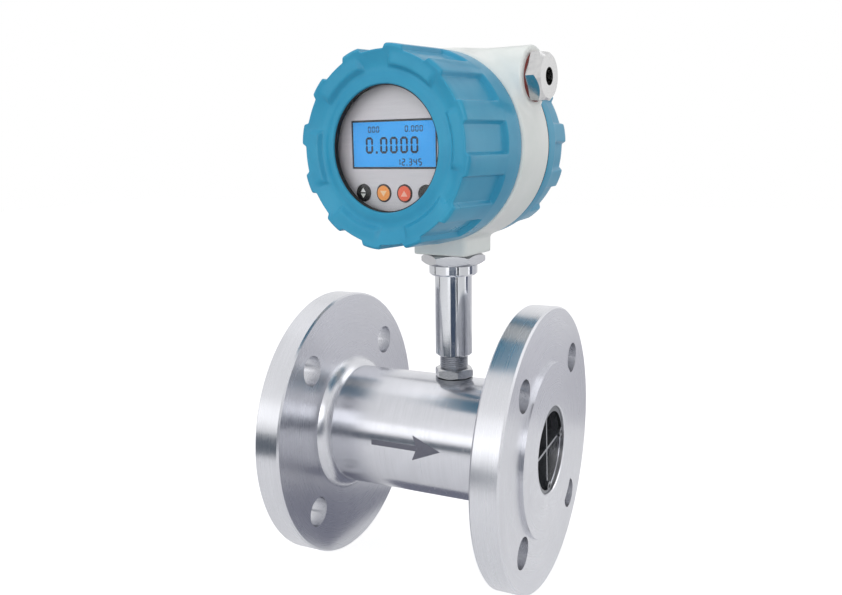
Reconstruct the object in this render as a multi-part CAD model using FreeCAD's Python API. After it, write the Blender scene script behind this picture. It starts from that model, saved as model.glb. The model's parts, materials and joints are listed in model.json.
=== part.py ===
import FreeCAD, Part
import math
import os

# DN50 turbine flow meter with a round indicator head on a stem.
#
# Frame: X runs along the pipe, in the direction of flow. Y points to the back, Z is up.
# The origin is the centre of the inlet raised face. All sizes are in millimetres.
#
# The head has a frame of its own: its origin is where the stem axis meets the axis of the
# round casing. "fore" is measured from there towards the window, "side" to the right of
# someone who reads the display, and "rise" upwards.

# ---------------------------------------------------------------- pipe and flanges
face_to_face = 150.0
flange_od = 165.0
flange_thickness = 18.0
raised_face_od = 102.0
raised_face_height = 2.0
flange_edge_chamfer = 1.0
bolt_circle_d = 125.0
bolt_hole_d = 18.0
bolt_count = 4
bolt_first_angle = 45.0
tube_od = 73.0
socket_depth = 9.0
socket_clearance = 0.1
weld_leg = 6.0
weld_throat = 5.2
measuring_bore_d = 50.0
guide_bore_d = 51.0
bore_mouth_chamfer = 0.6

# ---------------------------------------------------------------- flow guides and rotor
inlet_guide_length = 68.0
outlet_guide_length = 42.0
guide_clearance = 0.1
vane_thickness = 1.6
vane_angle = 5.0
guide_hub_d = 20.0
nose_belly = 2.0
inlet_nose_length = 16.0
inlet_nose_setback = 8.0
outlet_tail_length = 20.0
outlet_tail_setback = 12.0
hub_gap = 0.8

clip_setback = 1.4
clip_thickness = 1.8
clip_groove_play = 0.1
clip_groove_depth = 0.9
clip_band = 3.4
clip_eccentricity = 1.5
clip_gap_angle = 90.0
clip_gap_centre = -40.0
clip_ear_radius = 3.0
clip_ear_hole_d = 2.4
clip_ear_offset = 4.5

rotor_length = 14.0
rotor_hub_d = 19.0
hub_chamfer = 0.6
blade_count = 6
blade_thickness = 1.5
blade_twist = 42.0
blade_tip_clearance = 0.8
blade_root_sink = 0.6
blade_sections = 4
shaft_d = 3.0
shaft_end_gap = 0.4
bush_od = 8.0
bush_length = 9.0
bush_fit = 0.05
bush_recess = 0.3

# ---------------------------------------------------------------- pickup and stem
stem_x = 88.9
boss_d = 22.0
boss_stand = 1.0
pickup_d = 15.6
pickup_thread_fit = 0.1
pickup_floor = 2.4
pickup_wall = 1.2
pickup_tip_wall = 0.8
pickup_reach = 9.0
coil_length = 18.0
magnet_d = 6.0
magnet_length = 14.0
part_gap = 0.2
nut_face_inset = 0.4
nut_chamfer_angle = 30.0

lock_nut_af = 20.4
lock_nut_height = 5.6
lock_nut_angle = 64.0
stub_length = 8.0
stem_tube_d = 21.5
stem_tube_length = 47.7
stem_tube_chamfer = 0.8
stem_tube_bore_d = 17.0
spigot_bore_d = 15.0
stem_spigot_d = 18.0
stem_spigot_length = 4.0
collar_d = 28.0
collar_height = 6.0
collar_chamfer = 1.0
collar_top_chamfer = 0.4
nipple_d = 20.0
nipple_bore_d = 12.0
nipple_above_nut = 14.0
swivel_nut_af = 32.0
swivel_nut_height = 6.0
swivel_nut_angle = 22.0
swivel_fit = 0.08
swivel_gap = 0.3
seal_section = 1.9
seal_above_boss = 6.0

# ---------------------------------------------------------------- head casing
head_yaw = -6.0
head_axis_above_boss = 58.9
casing_d = 103.8
casing_front = 16.7
casing_rear = -15.6
casing_edge_radius = 1.5
casing_bore_d = 78.0
partition_front = 1.0
partition_rear = -3.0
partition_clearance = 0.1
partition_hole_d = 22.0
neck_d = 87.2
neck_length = 12.5
neck_chamfer = 0.8
boss_side = 34.4
boss_corner_radius = 3.0
entry_rise = 35.4
entry_stand = 3.0
entry_thread_d = 19.0
entry_breakthrough = 4.4
entry_chamfer = 0.8

# ---------------------------------------------------------------- screwed covers
front_cover_gap = 0.4
rear_cover_gap = 1.2
cover_skirt_d = 102.0
cover_rim_d = 100.0
cover_thread_fit = 0.3
cover_skirt_band = 15.0
cover_edge_radius = 1.6
lug_count = 12
lug_angle = 12.5
pocket_depth = 2.6
front_lug_phase = 21.0
rear_lug_phase = 8.5
front_cover_length = 54.2
rear_cover_length = 28.2
rear_skirt_band = 9.0
rim_radius = 2.0
rim_width = 3.0
rim_drop = 0.4
valley_d = 76.0
valley_width = 1.6
valley_depth = 3.9
valley_chamfer = 0.3
bezel_width = 6.0
bezel_flank = 3.0
bezel_below_rim = 2.4
bezel_radius = 1.4
window_d = 63.2
window_edge_chamfer = 0.6
pad_count = 6
pad_phase = 6.0
pad_angle = 42.0
pad_inner_d = 80.0
pad_flank = 1.6
pad_drop = 0.5
pad_outer_drop = 1.6
pad_sink = 0.4
seal_groove_depth = 3.0
cover_seal_section = 2.4
rear_panel_thickness = 6.0
rear_panel_chamfer = 1.5

# ---------------------------------------------------------------- window
glass_overlap = 8.4
glass_thickness = 4.5
gasket_thickness = 0.8
lip_thickness = 3.2
retainer_height = 3.6
retainer_plate_clearance = 1.5
spanner_slot_width = 3.0
spanner_slot_depth = 1.4
glass_chamber_gap = 2.0

# ---------------------------------------------------------------- display and boards
plate_edge = 0.5
plate_thickness = 1.2
plate_behind_glass = 1.6
screen_width = 51.4
screen_height = 24.4
screen_rise = 2.3
screen_clearance = 0.2
screen_recess = 0.2
module_border = 2.2
board_thickness = 1.6
board_edge = 3.0
lcd_module_depth = 7.8
main_board_fore = 12.0
standoff_d = 5.0
screw_beside_module = 0.8
standoff_rise_span = 22.6
spacer_d = 4.0
spacer_beside_module = 2.6
spacer_count = 4
key_count = 4
key_d = 8.8
key_chamfer = 0.3
key_pitch = 12.6
key_rise = -22.0
key_proud = 0.5
key_hole_clearance = 0.25
key_collar_d = 10.4
key_collar_height = 1.2
key_collar_gap = 0.3
key_travel = 0.4
key_switch_gap = 0.1
switch_side = 6.0
switch_height = 3.9
switch_plunger_d = 3.4
switch_plunger_height = 1.0
screw_head_d = 4.6
screw_head_height = 1.8

terminal_board_side = 44.0
terminal_board_gap = 3.0
terminal_width = 38.0
terminal_height = 14.0
terminal_depth = 10.0
terminal_ways = 6
terminal_screw_d = 3.6
terminal_screw_sink = 0.8
terminal_screw_rise = 2.0
terminal_slot_width = 0.8
terminal_slot_depth = 0.8
terminal_well_depth = 3.0
terminal_wire_side = 3.0
terminal_wire_fore = 3.4
terminal_foot_inset = 5.0
board_corner_radius = 3.0

# ---------------------------------------------------------------- cable gland and plug
gland_af = 24.0
gland_height = 7.4
gland_bore_d = 9.2
gland_face_d = 23.6
gland_face_chamfer = 0.7
gland_thread_length = 12.0
thread_fit = 0.1
washer_d = 25.0
washer_thickness = 1.2
grommet_length = 9.0
grommet_wall = 3.4
plug_head_height = 5.0
plug_socket_af = 10.0
plug_socket_depth = 4.0

X = FreeCAD.Vector(1, 0, 0)
Y = FreeCAD.Vector(0, 1, 0)
Z = FreeCAD.Vector(0, 0, 1)
ORIGIN = FreeCAD.Vector(0, 0, 0)
FULL_TURN = 360.0
CUT_MARGIN = 1.0
ENTRY_HEX_ANGLE = 90.0

# ---------------------------------------------------------------- derived levels
tube_r = tube_od / 2
measuring_r = measuring_bore_d / 2
guide_r = guide_bore_d / 2
inlet_shoulder = inlet_guide_length + clip_setback + clip_thickness
outlet_shoulder = face_to_face - clip_setback - clip_thickness - outlet_guide_length
tube_start = flange_thickness - socket_depth
tube_end = face_to_face - tube_start
rotor_start = stem_x - rotor_length / 2
rotor_end = stem_x + rotor_length / 2
pickup_tip_z = measuring_r + pickup_floor
boss_top = tube_r + boss_stand
lock_nut_z = boss_top + part_gap
stem_tube_z = lock_nut_z + lock_nut_height + stub_length
collar_z = stem_tube_z + stem_tube_length
nipple_z = collar_z + collar_height
swivel_nut_z = nipple_z + part_gap
head_boss_z = swivel_nut_z + swivel_nut_height + swivel_gap
head_z = head_boss_z + head_axis_above_boss
washer_foot_rise = entry_rise - washer_d / 2
entry_half_span = math.sqrt((casing_d / 2) ** 2 - washer_foot_rise ** 2) + entry_stand
entry_foot_rise = entry_rise - entry_thread_d / 2
entry_bore_end = math.sqrt((casing_bore_d / 2) ** 2 - entry_foot_rise ** 2) - entry_breakthrough
cover_back = casing_front + front_cover_gap
cover_rim = cover_back + front_cover_length
rear_back = casing_rear - rear_cover_gap
rear_rim = rear_back - rear_cover_length
glass_d = window_d + 2 * glass_overlap
glass_chamber_d = glass_d + 2 * glass_chamber_gap
retainer_d = glass_chamber_d - 2 * part_gap
module_width = screen_width + 2 * module_border
standoff_side_span = module_width + screw_head_d + 2 * screw_beside_module
spacer_circle_d = module_width + spacer_d + 2 * spacer_beside_module
plate_d = spacer_circle_d + spacer_d + 2 * plate_edge
standoff_circle_d = math.hypot(standoff_side_span, standoff_rise_span)
board_d = standoff_circle_d + 2 * board_edge
retainer_inner_d = plate_d + 2 * retainer_plate_clearance
lip_outer = cover_rim - bezel_below_rim
lip_inner = lip_outer - lip_thickness
glass_front = lip_inner - gasket_thickness
glass_back = glass_front - glass_thickness
plate_front = glass_back - plate_behind_glass
plate_back = plate_front - plate_thickness
display_board_front = plate_back - lcd_module_depth
display_board_back = display_board_front - board_thickness


# ---------------------------------------------------------------- outlines and solids
def outline(corners):
    """Closed wire through (a, b, size) corners in the XY plane.

    A positive size rounds the corner to that radius, and a negative one cuts it straight,
    that far from the corner along both sides.
    """
    points = [FreeCAD.Vector(a, b, 0) for a, b, size in corners]
    count = len(points)
    entries = []
    for i, (a, b, size) in enumerate(corners):
        here = points[i]
        to_last = (points[i - 1] - here).normalize()
        to_next = (points[(i + 1) % count] - here).normalize()
        if size <= 0:
            entries.append((here - to_last * size, None, here - to_next * size))
            continue
        half = to_last.getAngle(to_next) / 2
        reach = size / math.tan(half)
        bisector = (to_last + to_next).normalize()
        middle = here + bisector * (size / math.sin(half) - size)
        entries.append((here + to_last * reach, middle, here + to_next * reach))
    edges = []
    for i in range(count):
        start, middle, end = entries[i]
        if middle is not None:
            edges.append(Part.Arc(start, middle, end).toShape())
        elif start.distanceToPoint(end) > 1e-6:
            edges.append(Part.LineSegment(start, end).toShape())
        following = entries[(i + 1) % count][0]
        if end.distanceToPoint(following) > 1e-6:
            edges.append(Part.LineSegment(end, following).toShape())
    return Part.Wire(edges)


def turned_x(corners, angle=FULL_TURN, start=0.0):
    """Solid of revolution about X; corners are (x, radius, corner size)."""
    solid = Part.Face(outline(corners)).revolve(ORIGIN, X, angle)
    solid.rotate(ORIGIN, X, start)
    return solid


def turned_z(corners, x=0.0):
    """Solid of revolution about the vertical line at x; corners are (radius, z, corner size)."""
    face = Part.Face(outline(corners))
    face.rotate(ORIGIN, X, 90)
    solid = face.revolve(ORIGIN, Z, FULL_TURN)
    solid.translate(FreeCAD.Vector(x, 0, 0))
    return solid


def turned_head(corners, angle=FULL_TURN, start=0.0):
    """Head frame: revolution about the casing axis; corners are (fore, radius, corner size).

    Angles count from the side direction towards the rise direction.
    """
    face = Part.Face(outline([(radius, -fore, corner) for fore, radius, corner in corners]))
    solid = face.revolve(ORIGIN, -Y, angle)
    solid.rotate(ORIGIN, -Y, start)
    return solid


def disc_head(diameter, fore_back, fore_front, side=0.0, rise=0.0):
    """Head frame: cylinder along the casing axis between two fore levels."""
    base = FreeCAD.Vector(side, -fore_back, rise)
    return Part.makeCylinder(diameter / 2, fore_front - fore_back, base, -Y)


def block_head(width, height, fore_back, fore_front, side=0.0, rise=0.0, corner=0.0):
    """Head frame: rectangular block centred at (side, rise), with rounded corners."""
    a = width / 2
    b = height / 2
    wire = outline([(-a, -b, corner), (a, -b, corner), (a, b, corner), (-a, b, corner)])
    solid = Part.Face(wire).extrude(FreeCAD.Vector(0, 0, fore_front - fore_back))
    solid.rotate(ORIGIN, X, 90)
    solid.translate(FreeCAD.Vector(side, -fore_back, rise))
    return solid


def hexagon(across_flats, height, turn=0.0):
    """Hexagonal prism on Z from z = 0, with a corner at the angle turn."""
    corner_r = across_flats / math.sqrt(3)
    angles = [math.radians(turn + 60 * k) for k in range(6)]
    wire = outline([(corner_r * math.cos(a), corner_r * math.sin(a), 0) for a in angles])
    return Part.Face(wire).extrude(Z * height)


def hex_nut(across_flats, height, hole_d, turn=0.0):
    """Hexagon with turned chamfers on its ends and a hole through it."""
    solid = hexagon(across_flats, height, turn)
    outside = across_flats / math.sqrt(3) + CUT_MARGIN
    face_r = across_flats / 2 - nut_face_inset
    slope = (outside - face_r) * math.tan(math.radians(nut_chamfer_angle))
    envelope = turned_z([
        (0, 0, 0), (face_r, 0, 0), (outside, slope, 0),
        (outside, height - slope, 0), (face_r, height, 0), (0, height, 0)])
    solid = solid.common(envelope)
    if hole_d > 0:
        solid = solid.cut(Part.makeCylinder(hole_d / 2, height + 2 * CUT_MARGIN,
                                            Z * -CUT_MARGIN))
    return solid


def around_head(shape, count, phase=0.0):
    """Copies of a head-frame shape, evenly spaced about the casing axis."""
    copies = []
    for k in range(count):
        copy = shape.copy()
        copy.rotate(ORIGIN, -Y, phase + FULL_TURN * k / count)
        copies.append(copy)
    return copies


def place_head(shape):
    """Moves a shape from the head frame to the meter's frame."""
    placed = shape.copy()
    placed.rotate(ORIGIN, Z, head_yaw)
    placed.translate(FreeCAD.Vector(stem_x, 0, head_z))
    return placed


def export(name, shape):
    """Writes one named piece; a group of separate solids becomes one compound."""
    solids = shape.Solids
    if len(solids) == 1:
        shape = solids[0]
    else:
        shape = Part.makeCompound(solids)
    shape.exportStep("parts/" + name + ".step")


# ---------------------------------------------------------------- pipe pieces
def flange():
    """Inlet flange: raised face at x = 0, socket for the tube at the back, four bolt holes."""
    outer_r = flange_od / 2
    face_r = raised_face_od / 2
    socket_r = tube_r + socket_clearance
    body = turned_x([
        (0, guide_r + bore_mouth_chamfer, 0), (0, face_r, 0), (raised_face_height, face_r, 0),
        (raised_face_height, outer_r - flange_edge_chamfer, 0),
        (raised_face_height + flange_edge_chamfer, outer_r, 0),
        (flange_thickness - flange_edge_chamfer, outer_r, 0),
        (flange_thickness, outer_r - flange_edge_chamfer, 0),
        (flange_thickness, socket_r, 0), (tube_start, socket_r, 0),
        (tube_start, guide_r, 0), (bore_mouth_chamfer, guide_r, 0)])
    groove_start = clip_setback - clip_groove_play
    groove_end = clip_setback + clip_thickness + clip_groove_play
    groove_r = guide_r + clip_groove_depth
    body = body.cut(turned_x([
        (groove_start, 0, 0), (groove_start, groove_r, 0),
        (groove_end, groove_r, 0), (groove_end, 0, 0)]))
    for k in range(bolt_count):
        angle = math.radians(bolt_first_angle + FULL_TURN * k / bolt_count)
        centre = FreeCAD.Vector(0, math.cos(angle), math.sin(angle)) * (bolt_circle_d / 2)
        body = body.cut(Part.makeCylinder(
            bolt_hole_d / 2, flange_thickness + 2 * CUT_MARGIN, centre - X * CUT_MARGIN, X))
    return body


def weld():
    """Fillet weld between the back of the inlet flange and the tube, slightly convex."""
    bulge = weld_throat / math.sqrt(2)
    start = FreeCAD.Vector(flange_thickness, tube_r + weld_leg, 0)
    middle = FreeCAD.Vector(flange_thickness + bulge, tube_r + bulge, 0)
    end = FreeCAD.Vector(flange_thickness + weld_leg, tube_r, 0)
    corner = FreeCAD.Vector(flange_thickness, tube_r, 0)
    wire = Part.Wire([Part.Arc(start, middle, end).toShape(),
                      Part.LineSegment(end, corner).toShape(),
                      Part.LineSegment(corner, start).toShape()])
    return Part.Face(wire).revolve(ORIGIN, X, FULL_TURN)


def outlet_copy(shape):
    """The outlet end's copy of an inlet piece, turned half round about the vertical."""
    copy = shape.copy()
    copy.rotate(FreeCAD.Vector(face_to_face / 2, 0, 0), Z, 180)
    return copy


def meter_tube():
    """Tube with a measuring bore between two wider guide seats, and the pickup's blind hole."""
    tube = turned_x([
        (tube_start, guide_r, 0), (tube_start, tube_r, 0), (tube_end, tube_r, 0),
        (tube_end, guide_r, 0), (outlet_shoulder, guide_r, 0),
        (outlet_shoulder, measuring_r, 0), (inlet_shoulder, measuring_r, 0),
        (inlet_shoulder, guide_r, 0)])
    hole_r = pickup_d / 2 + pickup_thread_fit
    return tube.cut(Part.makeCylinder(
        hole_r, tube_r, FreeCAD.Vector(stem_x, 0, pickup_tip_z), Z))


def sensor_boss():
    """Low welded ring on the tube, saddle-cut underneath, that the pickup screws into."""
    ring = Part.makeCylinder(boss_d / 2, boss_top, FreeCAD.Vector(stem_x, 0, 0), Z)
    ring = ring.cut(Part.makeCylinder(
        pickup_d / 2 + pickup_thread_fit, boss_top + CUT_MARGIN,
        FreeCAD.Vector(stem_x, 0, 0), Z))
    saddle = Part.makeCylinder(tube_r, face_to_face, ORIGIN, X)
    return ring.cut(saddle)


def guide(hub_start, hub_end, nose_at_start, nose_length, vane_start, vane_end, bush_at_end):
    """Flow guide: crossed vanes and a bullet-shaped hub with a bush seat facing the rotor."""
    hub_r = guide_hub_d / 2
    if nose_at_start:
        tip = FreeCAD.Vector(hub_start, 0, 0)
        shoulder = FreeCAD.Vector(hub_start + nose_length, hub_r, 0)
        flat = FreeCAD.Vector(hub_end, hub_r, 0)
        back = FreeCAD.Vector(hub_end, 0, 0)
    else:
        tip = FreeCAD.Vector(hub_end, 0, 0)
        shoulder = FreeCAD.Vector(hub_end - nose_length, hub_r, 0)
        flat = FreeCAD.Vector(hub_start, hub_r, 0)
        back = FreeCAD.Vector(hub_start, 0, 0)
    belly = (tip + shoulder) * 0.5 + Y * nose_belly
    nose = Part.Arc(tip, belly, shoulder).toShape()
    wire = Part.Wire([nose, Part.LineSegment(shoulder, flat).toShape(),
                      Part.LineSegment(flat, back).toShape(),
                      Part.LineSegment(back, tip).toShape()])
    hub = Part.Face(wire).revolve(ORIGIN, X, FULL_TURN)
    vane_r = guide_r - guide_clearance
    length = vane_end - vane_start
    cross = None
    for turn in (vane_angle, vane_angle + 90):
        plate = Part.makeBox(length, 2 * vane_r, vane_thickness,
                             FreeCAD.Vector(vane_start, -vane_r, -vane_thickness / 2))
        plate.rotate(ORIGIN, X, turn)
        cross = plate if cross is None else cross.fuse(plate)
    cross = cross.common(Part.makeCylinder(vane_r, length, X * vane_start, X))
    body = hub.fuse(cross).removeSplitter()
    seat = bush_length + bush_recess
    seat_start = hub_end - seat if bush_at_end else hub_start
    return body.cut(Part.makeCylinder(bush_od / 2, seat, X * seat_start, X))


def inlet_guide():
    """Straightener ahead of the rotor, its nose facing the flow."""
    hub_end = rotor_start - hub_gap
    vane_start = clip_setback + clip_thickness
    return guide(vane_start + inlet_nose_setback, hub_end, True, inlet_nose_length,
                 vane_start, inlet_shoulder, True)


def outlet_guide():
    """Short guide behind the rotor, with a long tail."""
    hub_start = rotor_end + hub_gap
    vane_end = face_to_face - clip_setback - clip_thickness
    return guide(hub_start, vane_end - outlet_tail_setback, False, outlet_tail_length,
                 outlet_shoulder, vane_end, False)


def bush(start):
    """Hard bearing bush in a guide hub."""
    ring = Part.makeCylinder(bush_od / 2, bush_length, X * start, X)
    return ring.cut(Part.makeCylinder(
        shaft_d / 2 + bush_fit, bush_length + 2 * CUT_MARGIN, X * (start - CUT_MARGIN), X))


def retaining_ring():
    """Inlet retaining ring: eccentric band that thins towards two eared ends."""
    outer_r = guide_r + clip_groove_depth - clip_groove_play
    inner_r = outer_r - clip_band
    middle = math.radians(clip_gap_centre)
    towards_gap = FreeCAD.Vector(0, math.cos(middle), math.sin(middle))
    start = X * clip_setback
    band = Part.makeCylinder(outer_r, clip_thickness, start, X)
    band = band.cut(Part.makeCylinder(
        inner_r, clip_thickness, start + towards_gap * clip_eccentricity, X))
    reach = outer_r * 2
    half = clip_gap_angle / 2
    gap_corners = [(0, 0, 0)]
    for angle in (clip_gap_centre - half, clip_gap_centre, clip_gap_centre + half):
        a = math.radians(angle)
        gap_corners.append((reach * math.cos(a), reach * math.sin(a), 0))
    wedge = Part.Face(outline(gap_corners)).extrude(Z * clip_thickness)
    # The outline's plane becomes the YZ plane: its first axis is Y and its second is Z.
    wedge.Placement = FreeCAD.Placement(start, FreeCAD.Rotation(Y, Z, X, "ZXY"))
    band = band.cut(wedge)
    for side in (-1, 1):
        angle = math.radians(clip_gap_centre + side * (half + clip_ear_offset))
        centre = FreeCAD.Vector(0, math.cos(angle), math.sin(angle)) * (guide_r - clip_ear_radius)
        ear = Part.makeCylinder(clip_ear_radius, clip_thickness, start + centre, X)
        band = band.fuse(ear)
        band = band.cut(Part.makeCylinder(
            clip_ear_hole_d / 2, clip_thickness, start + centre, X))
    return band.common(Part.makeCylinder(outer_r, clip_thickness, start, X))


def outlet_retaining_ring():
    """The outlet's ring is seen from outside with its gap low on the far side."""
    ring = retaining_ring()
    ring.translate(X * (face_to_face - 2 * clip_setback - clip_thickness))
    return ring


def rotor():
    """Turbine wheel: hub with twisted blades, bored for the shaft."""
    hub_r = rotor_hub_d / 2
    tip_r = measuring_r - blade_tip_clearance
    wheel = turned_x([(rotor_start, 0, 0), (rotor_start, hub_r, -hub_chamfer),
                      (rotor_end, hub_r, -hub_chamfer), (rotor_end, 0, 0)])
    root = hub_r - blade_root_sink
    half = blade_thickness / 2
    sections = []
    for k in range(blade_sections):
        along = k / (blade_sections - 1)
        x = rotor_start + along * rotor_length
        corners = [FreeCAD.Vector(x, -half, root), FreeCAD.Vector(x, half, root),
                   FreeCAD.Vector(x, half, tip_r + CUT_MARGIN),
                   FreeCAD.Vector(x, -half, tip_r + CUT_MARGIN)]
        wire = Part.makePolygon(corners + corners[:1])
        wire.rotate(ORIGIN, X, blade_twist * (along - 0.5))
        sections.append(wire)
    blade = Part.makeLoft(sections, True)
    blade = blade.common(Part.makeCylinder(tip_r, rotor_length, X * rotor_start, X))
    for k in range(blade_count):
        copy = blade.copy()
        copy.rotate(ORIGIN, X, FULL_TURN * k / blade_count)
        wheel = wheel.fuse(copy)
    return wheel.cut(Part.makeCylinder(shaft_d / 2, rotor_length, X * rotor_start, X))


def rotor_shaft():
    """Pin pressed in the wheel, its ends running in both bushes."""
    reach = hub_gap + bush_length + bush_recess - shaft_end_gap
    length = rotor_length + 2 * reach
    return Part.makeCylinder(shaft_d / 2, length, X * (rotor_start - reach), X)


# ---------------------------------------------------------------- pickup and stem pieces
def pickup_shell():
    """Threaded pickup barrel with a closed tip just above the measuring bore."""
    outer_r = pickup_d / 2
    inner_r = outer_r - pickup_wall
    top = stem_tube_z + pickup_reach
    return turned_z([
        (0, pickup_tip_z + part_gap, 0), (outer_r, pickup_tip_z + part_gap, 0),
        (outer_r, top, 0), (inner_r, top, 0),
        (inner_r, pickup_tip_z + part_gap + pickup_tip_wall, 0),
        (0, pickup_tip_z + part_gap + pickup_tip_wall, 0)], stem_x)


def pickup_magnet():
    """Rod magnet standing on the pickup's closed tip."""
    floor = pickup_tip_z + part_gap + pickup_tip_wall
    return Part.makeCylinder(magnet_d / 2, magnet_length, FreeCAD.Vector(stem_x, 0, floor), Z)


def pickup_coil():
    """Winding around the magnet."""
    floor = pickup_tip_z + part_gap + pickup_tip_wall
    base = FreeCAD.Vector(stem_x, 0, floor)
    outer_r = pickup_d / 2 - pickup_wall - part_gap
    coil = Part.makeCylinder(outer_r, coil_length, base, Z)
    return coil.cut(Part.makeCylinder(magnet_d / 2 + part_gap, coil_length, base, Z))


def pickup_lock_nut():
    """Thin nut that locks the pickup in its boss."""
    nut = hex_nut(lock_nut_af, lock_nut_height,
                  pickup_d + 2 * pickup_thread_fit, lock_nut_angle)
    nut.translate(FreeCAD.Vector(stem_x, 0, lock_nut_z))
    return nut


def stem_tube():
    """Polished tube around the top of the pickup, with a spigot into the collar."""
    outer_r = stem_tube_d / 2
    bore_r = stem_tube_bore_d / 2
    seat_r = pickup_d / 2 + pickup_thread_fit
    seat_top = stem_tube_z + pickup_reach
    spigot_r = spigot_bore_d / 2
    return turned_z([
        (seat_r, stem_tube_z, 0), (outer_r - stem_tube_chamfer, stem_tube_z, 0),
        (outer_r, stem_tube_z + stem_tube_chamfer, 0), (outer_r, collar_z, 0),
        (stem_spigot_d / 2, collar_z, 0), (stem_spigot_d / 2, collar_z + stem_spigot_length, 0),
        (spigot_r, collar_z + stem_spigot_length, 0), (spigot_r, collar_z, 0),
        (bore_r, collar_z - (bore_r - spigot_r), 0), (bore_r, seat_top, 0),
        (seat_r, seat_top, 0)], stem_x)


def swivel_nipple():
    """Collar and nipple in one: the stem screws in below, the head turns on it above."""
    collar_r = collar_d / 2
    nipple_r = nipple_d / 2
    spigot_r = stem_spigot_d / 2 + socket_clearance
    spigot_top = collar_z + stem_spigot_length + part_gap
    top = head_boss_z + nipple_above_nut
    seal_z = head_boss_z + seal_above_boss
    groove_r = nipple_r - seal_section
    half = seal_section / 2 + part_gap / 2
    return turned_z([
        (spigot_r, collar_z, 0), (collar_r - collar_chamfer, collar_z, 0),
        (collar_r, collar_z + collar_chamfer, 0), (collar_r, nipple_z, -collar_top_chamfer),
        (nipple_r, nipple_z, 0), (nipple_r, seal_z - half, 0), (groove_r, seal_z - half, 0),
        (groove_r, seal_z + half, 0), (nipple_r, seal_z + half, 0), (nipple_r, top, 0),
        (nipple_bore_d / 2, top, 0), (nipple_bore_d / 2, spigot_top, 0),
        (spigot_r, spigot_top, 0)], stem_x)


def swivel_seal():
    """Square-section sealing ring in the nipple's groove."""
    seal_z = head_boss_z + seal_above_boss
    outer_r = nipple_d / 2
    inner_r = outer_r - seal_section
    low = seal_z - seal_section / 2
    high = seal_z + seal_section / 2
    return turned_z([(inner_r, low, 0), (outer_r, low, 0), (outer_r, high, 0),
                     (inner_r, high, 0)], stem_x)


def swivel_lock_nut():
    """Large nut that locks the head on the nipple."""
    nut = hex_nut(swivel_nut_af, swivel_nut_height,
                  nipple_d + 2 * thread_fit, swivel_nut_angle)
    nut.translate(FreeCAD.Vector(stem_x, 0, swivel_nut_z))
    return nut


# ---------------------------------------------------------------- head casing
def housing_body():
    """Cast casing: round body, threaded necks, cross barrel for two entries, square boss."""
    casing_r = casing_d / 2
    neck_r = neck_d / 2
    bore_r = casing_bore_d / 2
    middle = (casing_front + casing_rear) / 2
    half_width = (casing_front - casing_rear) / 2
    body = turned_head([
        (casing_rear - neck_length, 0, 0), (casing_rear - neck_length, neck_r, -neck_chamfer),
        (casing_rear, neck_r, 0),
        (casing_rear, casing_r, casing_edge_radius),
        (casing_front, casing_r, casing_edge_radius), (casing_front, neck_r, 0),
        (casing_front + neck_length, neck_r, -neck_chamfer), (casing_front + neck_length, 0, 0)])
    barrel = Part.makeCylinder(half_width, 2 * entry_half_span,
                               FreeCAD.Vector(-entry_half_span, -middle, entry_rise), X)
    barrel = barrel.makeChamfer(entry_chamfer, barrel.Edges)
    boss_bottom = -head_axis_above_boss
    a = boss_side / 2
    b = half_width
    r = boss_corner_radius
    boss = Part.Face(outline([(-a, -b, r), (a, -b, r), (a, b, r), (-a, b, r)]))
    boss = boss.extrude(Z * (-boss_bottom))
    boss.translate(FreeCAD.Vector(0, -middle, boss_bottom))
    body = body.fuse([barrel, boss])
    body = body.cut(disc_head(casing_bore_d, casing_rear - neck_length - CUT_MARGIN,
                              casing_front + neck_length + CUT_MARGIN))
    for side in (-1, 1):
        mouth = entry_half_span + CUT_MARGIN
        body = body.cut(Part.makeCylinder(
            entry_thread_d / 2 + thread_fit, mouth - entry_bore_end,
            FreeCAD.Vector(side * mouth, -middle, entry_rise), X * -side))
    swivel_r = nipple_d / 2 + swivel_fit
    depth = head_axis_above_boss - bore_r + 2 * CUT_MARGIN
    return body.cut(Part.makeCylinder(
        swivel_r, depth, FreeCAD.Vector(0, 0, boss_bottom - CUT_MARGIN), Z))


def partition_plate():
    """Plate between the display chamber and the wiring chamber, with a hole for the wires."""
    return ring_head(casing_bore_d - 2 * partition_clearance, partition_hole_d,
                     partition_rear, partition_front)


def grip_lugs(cover, pocket_start, rim, phase):
    """Cuts the pockets between the lugs, from the plain band's edge to the rim."""
    past_rim = rim + math.copysign(CUT_MARGIN, rim - pocket_start)
    floor_start = cover_skirt_d / 2 - pocket_depth
    floor_end = cover_rim_d / 2 - pocket_depth
    outside = cover_skirt_d / 2 + CUT_MARGIN
    pocket_angle = FULL_TURN / lug_count - lug_angle
    pocket = turned_head([
        (pocket_start, floor_start, 0), (past_rim, floor_end, 0), (past_rim, outside, 0),
        (pocket_start, outside, 0)], pocket_angle, lug_angle / 2)
    return cover.cut(around_head(pocket, lug_count, phase))


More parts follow.
